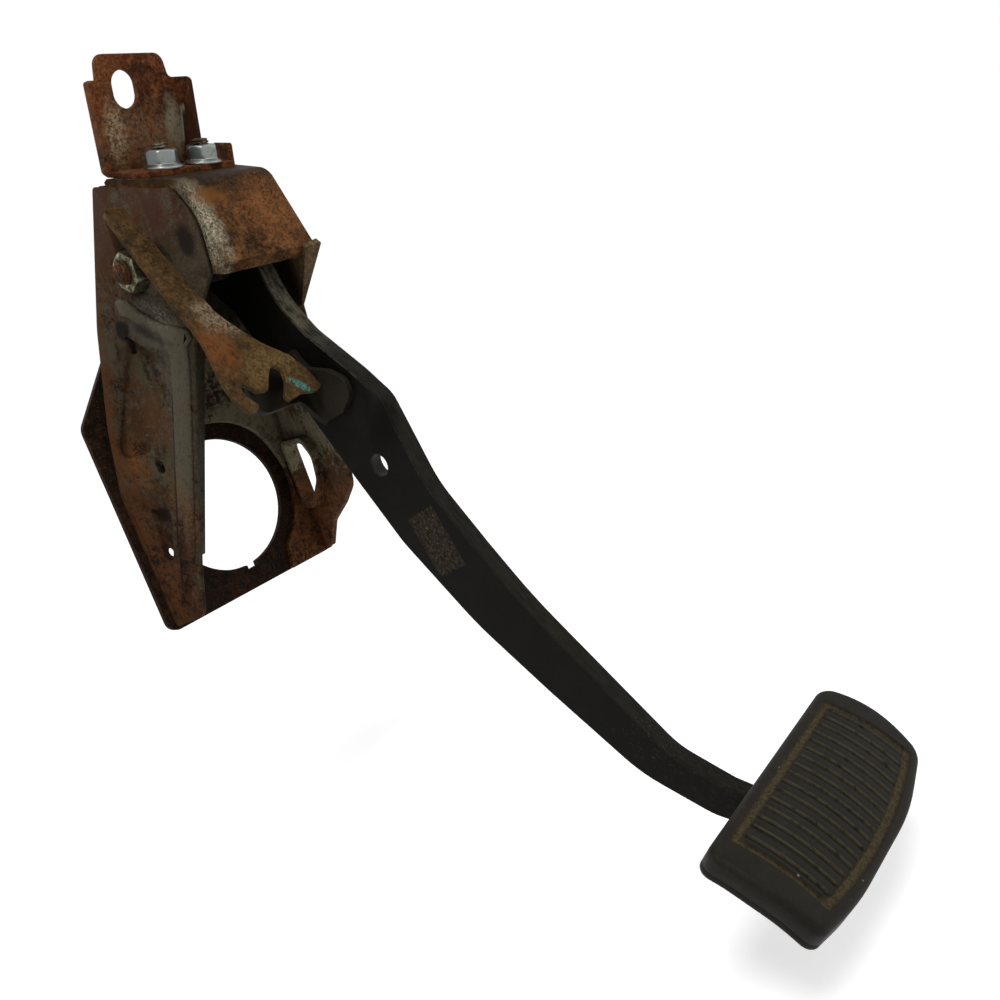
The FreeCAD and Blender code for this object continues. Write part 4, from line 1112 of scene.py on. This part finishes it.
def pressed_parts(skin):
    """Groups of joined faces that lie between the two flat faces of the wall."""
    left_over = set(skin.faces) - flat_faces(skin, wall_depth, 0.0) - flat_faces(skin, wall_depth, wall_thick)
    groups = []
    while left_over:
        group, growing = set(), [left_over.pop()]
        while growing:
            face = growing.pop()
            group.add(face)
            fresh = {f for edge in face.edges for f in edge.link_faces} & left_over
            left_over -= fresh
            growing += fresh
        groups.append(group)
    return groups


def lean_recess(y, z):
    """Where a point of the upright recess goes, so that it leans with the front edge."""
    centre = old_recess[0] - (z - 68) * 0.20
    z = z if z < old_recess[1] else old_recess[1] + (z - old_recess[1]) * 0.8
    t = ramp(z, 75, 91)
    return -42.6 - (z - 68) * 0.46 + (y - centre) * (1 - 0.42 * soft(t)) + t * 5.0, z


def refill(skin, faces):
    """Fill a flat face again between its outlines."""
    outline = [e for e in {e for f in faces for e in f.edges} if sum(f in faces for f in e.link_faces) == 1]
    points = list({v for e in outline for v in e.verts})
    place = {v: i for i, v in enumerate(points)}
    lines = [(place[e.verts[0]], place[e.verts[1]]) for e in outline]
    spots = [Vector((v.co.y, v.co.z)) for v in points]
    bmesh.ops.delete(skin, geom=list(faces), context="FACES_ONLY")
    filled = delaunay_2d_cdt(spots, lines, [], 0, 1e-5)
    for triangle in filled[2]:
        y, z = (sum(filled[0][i][k] for i in triangle) / 3 for k in (0, 1))
        crossed = 0
        for a, b in lines:
            (ay, az), (by, bz) = spots[a], spots[b]
            if (az > z) != (bz > z) and y < ay + (z - az) / (bz - az) * (by - ay):
                crossed += 1
        if crossed % 2:
            skin.faces.new([points[filled[3][i][0]] for i in triangle])
    bmesh.ops.delete(skin, geom=[e for e in skin.edges if not e.link_faces], context="EDGES")


skin = welded_copy("left_side_plate")
for group in pressed_parts(skin):
    points = {v for f in group for v in f.verts}
    off = [sum(v.co[k] for v in points) / len(points) - old_recess[k - 1] for k in (1, 2)]
    if math.hypot(*off) < 9 and len(group) > 60:  # the large group near the old middle
        for v in points:
            v.co = on_wall(*lean_recess(v.co.y, v.co.z), wall_depth(v.co))
        print("recess:", len(group), "faces lean with the front edge")
for v in skin.verts:
    depth = wall_depth(v.co)
    dy, dz = v.co.y - pivot_y, v.co.z - pivot_z
    if bore_reach < math.hypot(dy, dz) < seat_reach and v.co.x < -20:
        y, z = pivot_y + dy * seat_shrink, pivot_z + dz * seat_shrink
        on_flat = min(abs(depth), abs(depth - wall_thick)) < 0.05
        v.co = on_wall(y, z, depth) if on_flat else Vector((v.co.x, y, z))
    hole_y = closed_hole[0] + depth * math.sin(lean)
    if math.hypot(v.co.y - hole_y, v.co.z - closed_hole[1]) < 2.0 and v.co.x < -40:
        v.co = on_wall(hole_y, closed_hole[1], depth)
for level in (0.0, wall_thick):
    refill(skin, flat_faces(skin, wall_depth, level))
left_mesh = outward(skin, "left_wall_skin")
print("left wall:", len(left_mesh.polygons), "faces")

# %% [markdown]
# The grey band stands proud of the wall: it comes down from the rear, turns round the upper
# corner of the recess and runs along the front edge to the foot. It is drawn as one outline
# on the wall, and five rings give it a rounded rim.

# %% The raised band
band_outline = [
    (-47.0, 111.5, 4), (-54.6, 111.0, 6), (-59.7, 103.5, 12), (-64.8, 97.6, 12), (-70.5, 93.3, 12),
    (-82.4, 87.4, 1.5), (-82.2, 82.9, 1.0), (-78.2, 80.6, 2), (-74.1, 69.9, 30), (-60.7, 41.8, 60),
    (-54.0, 28.0, 60), (-40.2, -0.3, 40), (-34.2, -12.5, 4), (-30.5, -16.5, 3), (-24.3, -12.5, 3),
    (-30.6, 0.5, 60), (-44.9, 29.8, 60), (-57.6, 56.7, 60), (-65.4, 72.6, 12), (-67.4, 77.5, 8),
    (-66.9, 82.2, 10), (-62.2, 90.8, 16), (-57.9, 96.6, 12), (-53.4, 101.8, 8), (-46.5, 104.5, 3)]


def inset_line(line, distance):
    """The same closed line moved inwards along its own normals."""
    area = sum(a.x * b.y - b.x * a.y for a, b in zip(line, line[1:] + line[:1]))
    side = 1 if area > 0 else -1
    ways = [(line[(i + 1) % len(line)] - line[i - 1]).normalized() for i in range(len(line))]
    return [p + Vector((-way.y, way.x)) * side * distance for p, way in zip(line, ways)]


def loop_edges(count):
    """Pairs of neighbours along a closed line."""
    return [(i, (i + 1) % count) for i in range(count)]


def raised_band(line, height, root=1.0, overlap=0.15):
    """A closed strip from its root inside the wall up to its height, with a rounded rim."""
    skin = bmesh.new()
    loops = []
    for inset, share in ((0.0, None), (0.0, 0.35), (0.3, 0.72), (0.75, 0.94), (1.3, 1.0)):
        loop = []
        for p in inset_line(line, inset):
            # The top end runs out flat towards the front edge
            fade = ramp(p.x, -44.5, -53.5) if p.y > 95 else 1.0
            depth = root if share is None else overlap - (height + overlap) * share * fade
            loop.append(skin.verts.new(on_wall(p.x, p.y, depth)))
        loops.append(loop)
    for low, high in zip(loops, loops[1:]):
        bridge(skin, low, high)
    for loop in (loops[0], loops[-1]):
        filled = delaunay_2d_cdt([Vector((v.co.y, v.co.z)) for v in loop], loop_edges(len(loop)),
                                 [list(range(len(loop)))], 1, 1e-6)
        for triangle in filled[2]:
            corners = [filled[3][i][0] for i in triangle if filled[3][i]]
            if len(set(corners)) == 3:
                skin.faces.new([loop[i] for i in corners])
    return outward(skin, "band_skin")


band_line = []
for p in rounded(band_outline, 1.0):
    if not band_line or (p - band_line[-1]).length > 0.25:
        band_line.append(p)
band_mesh = raised_band(band_line, 1.9)
add_piece("left_wall_pressed", [left_mesh, band_mesh], left.material, "housing", "left_side_plate")
print("raised band:", len(band_mesh.polygons), "faces")

# %% [markdown]
# The pushrod hole of the arm is wider on its far side, and light comes through it. The
# arm's mesh is copied, the far ring is opened, and the far face is filled again.

# %% The arm with its pushrod hole
hole_y, hole_z, hole_r, far_side = -127.1, 1.6, 5.2, 15.5
opening, opening_shift = 1.45, 0.8
skin = welded_copy("pedal_arm")
widened = 0
for v in skin.verts:
    dy, dz = v.co.y - hole_y, v.co.z - hole_z
    if abs(math.hypot(dy, dz) - hole_r) < 0.3 and abs(v.co.x - far_side) < 0.05:
        v.co = Vector((v.co.x, hole_y + dy * opening + opening_shift, hole_z + dz * opening))
        widened += 1
refill(skin, flat_faces(skin, lambda spot: spot.x, far_side))
add_piece("pedal_arm_bored", [outward(skin, "arm_skin")], arm.material, "pedal", "pedal_arm")
print("pushrod hole:", widened, "points of its far ring moved")

# %% [markdown]
# The switch bracket is one strip of sheet. It is cut to an outline first, and then bent, as
# in a press brake: the outline is drawn flat in (across, along), filled with triangles, and
# its length is laid along a line that turns softly at the fold.

# %% The bent switch bracket
fold, soft_half, sheet_thick = 75.75, 5.0, 2.5
steep, shallow = math.radians(23.95), math.radians(15.0)
strip_top = (-73.7, 144.9)
strip_outline = [
    (-44.6, -2, 4), (-44, 28, 60), (-42.9, 49, 60), (-41.6, 69, 30), (-42.8, 81.5, 30), (-43.9, 94, 14),
    (-42.9, 101, 6), (-39.5, 108, 5), (-35.6, 109, 1), (-33.6, 106.4, 0.6), (-37.3, 100.6, 2),
    (-37.6, 96.4, 1.2), (-35, 95.1, 1), (-30.8, 100.6, 2.5), (-25.3, 101.8, 1), (-20.2, 94.6, 3),
    (-16.5, 90.6, 3.4), (-12.6, 94.4, 3), (-13.6, 100, 3), (-18.5, 106.6, 1), (-17.6, 109.3, 1),
    (-9, 108, 3), (-0.8, 109.5, 1), (2.4, 107.6, 0.8), (0.1, 99.1, 10), (-4.6, 89.8, 8), (-15, 80.6, 10),
    (-19, 75.5, 6), (-23.5, 67.5, 10), (-26.8, 60, 8), (-27.6, 53, 30), (-29, 36, 60), (-32, 17, 60),
    (-33.8, -1, 2.5)]


def lean_at(s):
    """Direction of the sheet at s along it, steep above the fold and less so below."""
    return steep + (shallow - steep) * soft(ramp(s, fold - soft_half, fold + soft_half))


def along_sheet(s):
    """(y, z) of the sheet's front face at s, summed up in short steps."""
    (y, z), here = strip_top, 0.0
    if s < 0:
        return y - math.sin(steep) * s, z - math.cos(steep) * s
    while here < s:
        step = min(0.5, s - here)
        turn = lean_at(here + step / 2)
        y -= math.sin(turn) * step
        z -= math.cos(turn) * step
        here += step
    return y, z


corners = rounded(strip_outline, 0.8)
count = len(corners)
edges = loop_edges(count)
for k in range(7):
    row = fold - soft_half + 2 * soft_half * k / 6
    corners += [Vector((-50, row)), Vector((0, row))]
    edges.append((len(corners) - 2, len(corners) - 1))
flat = delaunay_2d_cdt(corners, edges, [list(range(count))], 1, 1e-5)
sheet = bmesh.new()
front, back = [], []
for spot in flat[0]:
    y, z = along_sheet(spot.y)
    turn = lean_at(spot.y)
    front.append(sheet.verts.new((spot.x, y, z)))
    back.append(sheet.verts.new((spot.x, y + math.cos(turn) * sheet_thick, z - math.sin(turn) * sheet_thick)))
sides = set()
for triangle in flat[2]:
    sheet.faces.new([front[i] for i in triangle])
    sheet.faces.new([back[i] for i in reversed(triangle)])
    sides.update(zip(triangle, triangle[1:] + triangle[:1]))
for a, b in [side for side in sides if side[::-1] not in sides]:
    sheet.faces.new((front[b], front[a], back[a], back[b]))
bmesh.ops.delete(sheet, geom=[v for v in sheet.verts if not v.link_faces], context="VERTS")
bracket_mesh = outward(sheet, "bracket_sheet")
add_piece("switch_bracket_bent", [bracket_mesh], strip.material, "housing", "switch_bracket")
print("switch bracket:", len(bracket_mesh.polygons), "faces")

# %% Sizes, and the end
print("frame box:", [[round(v, 4) for v in p] for p in cad_box])
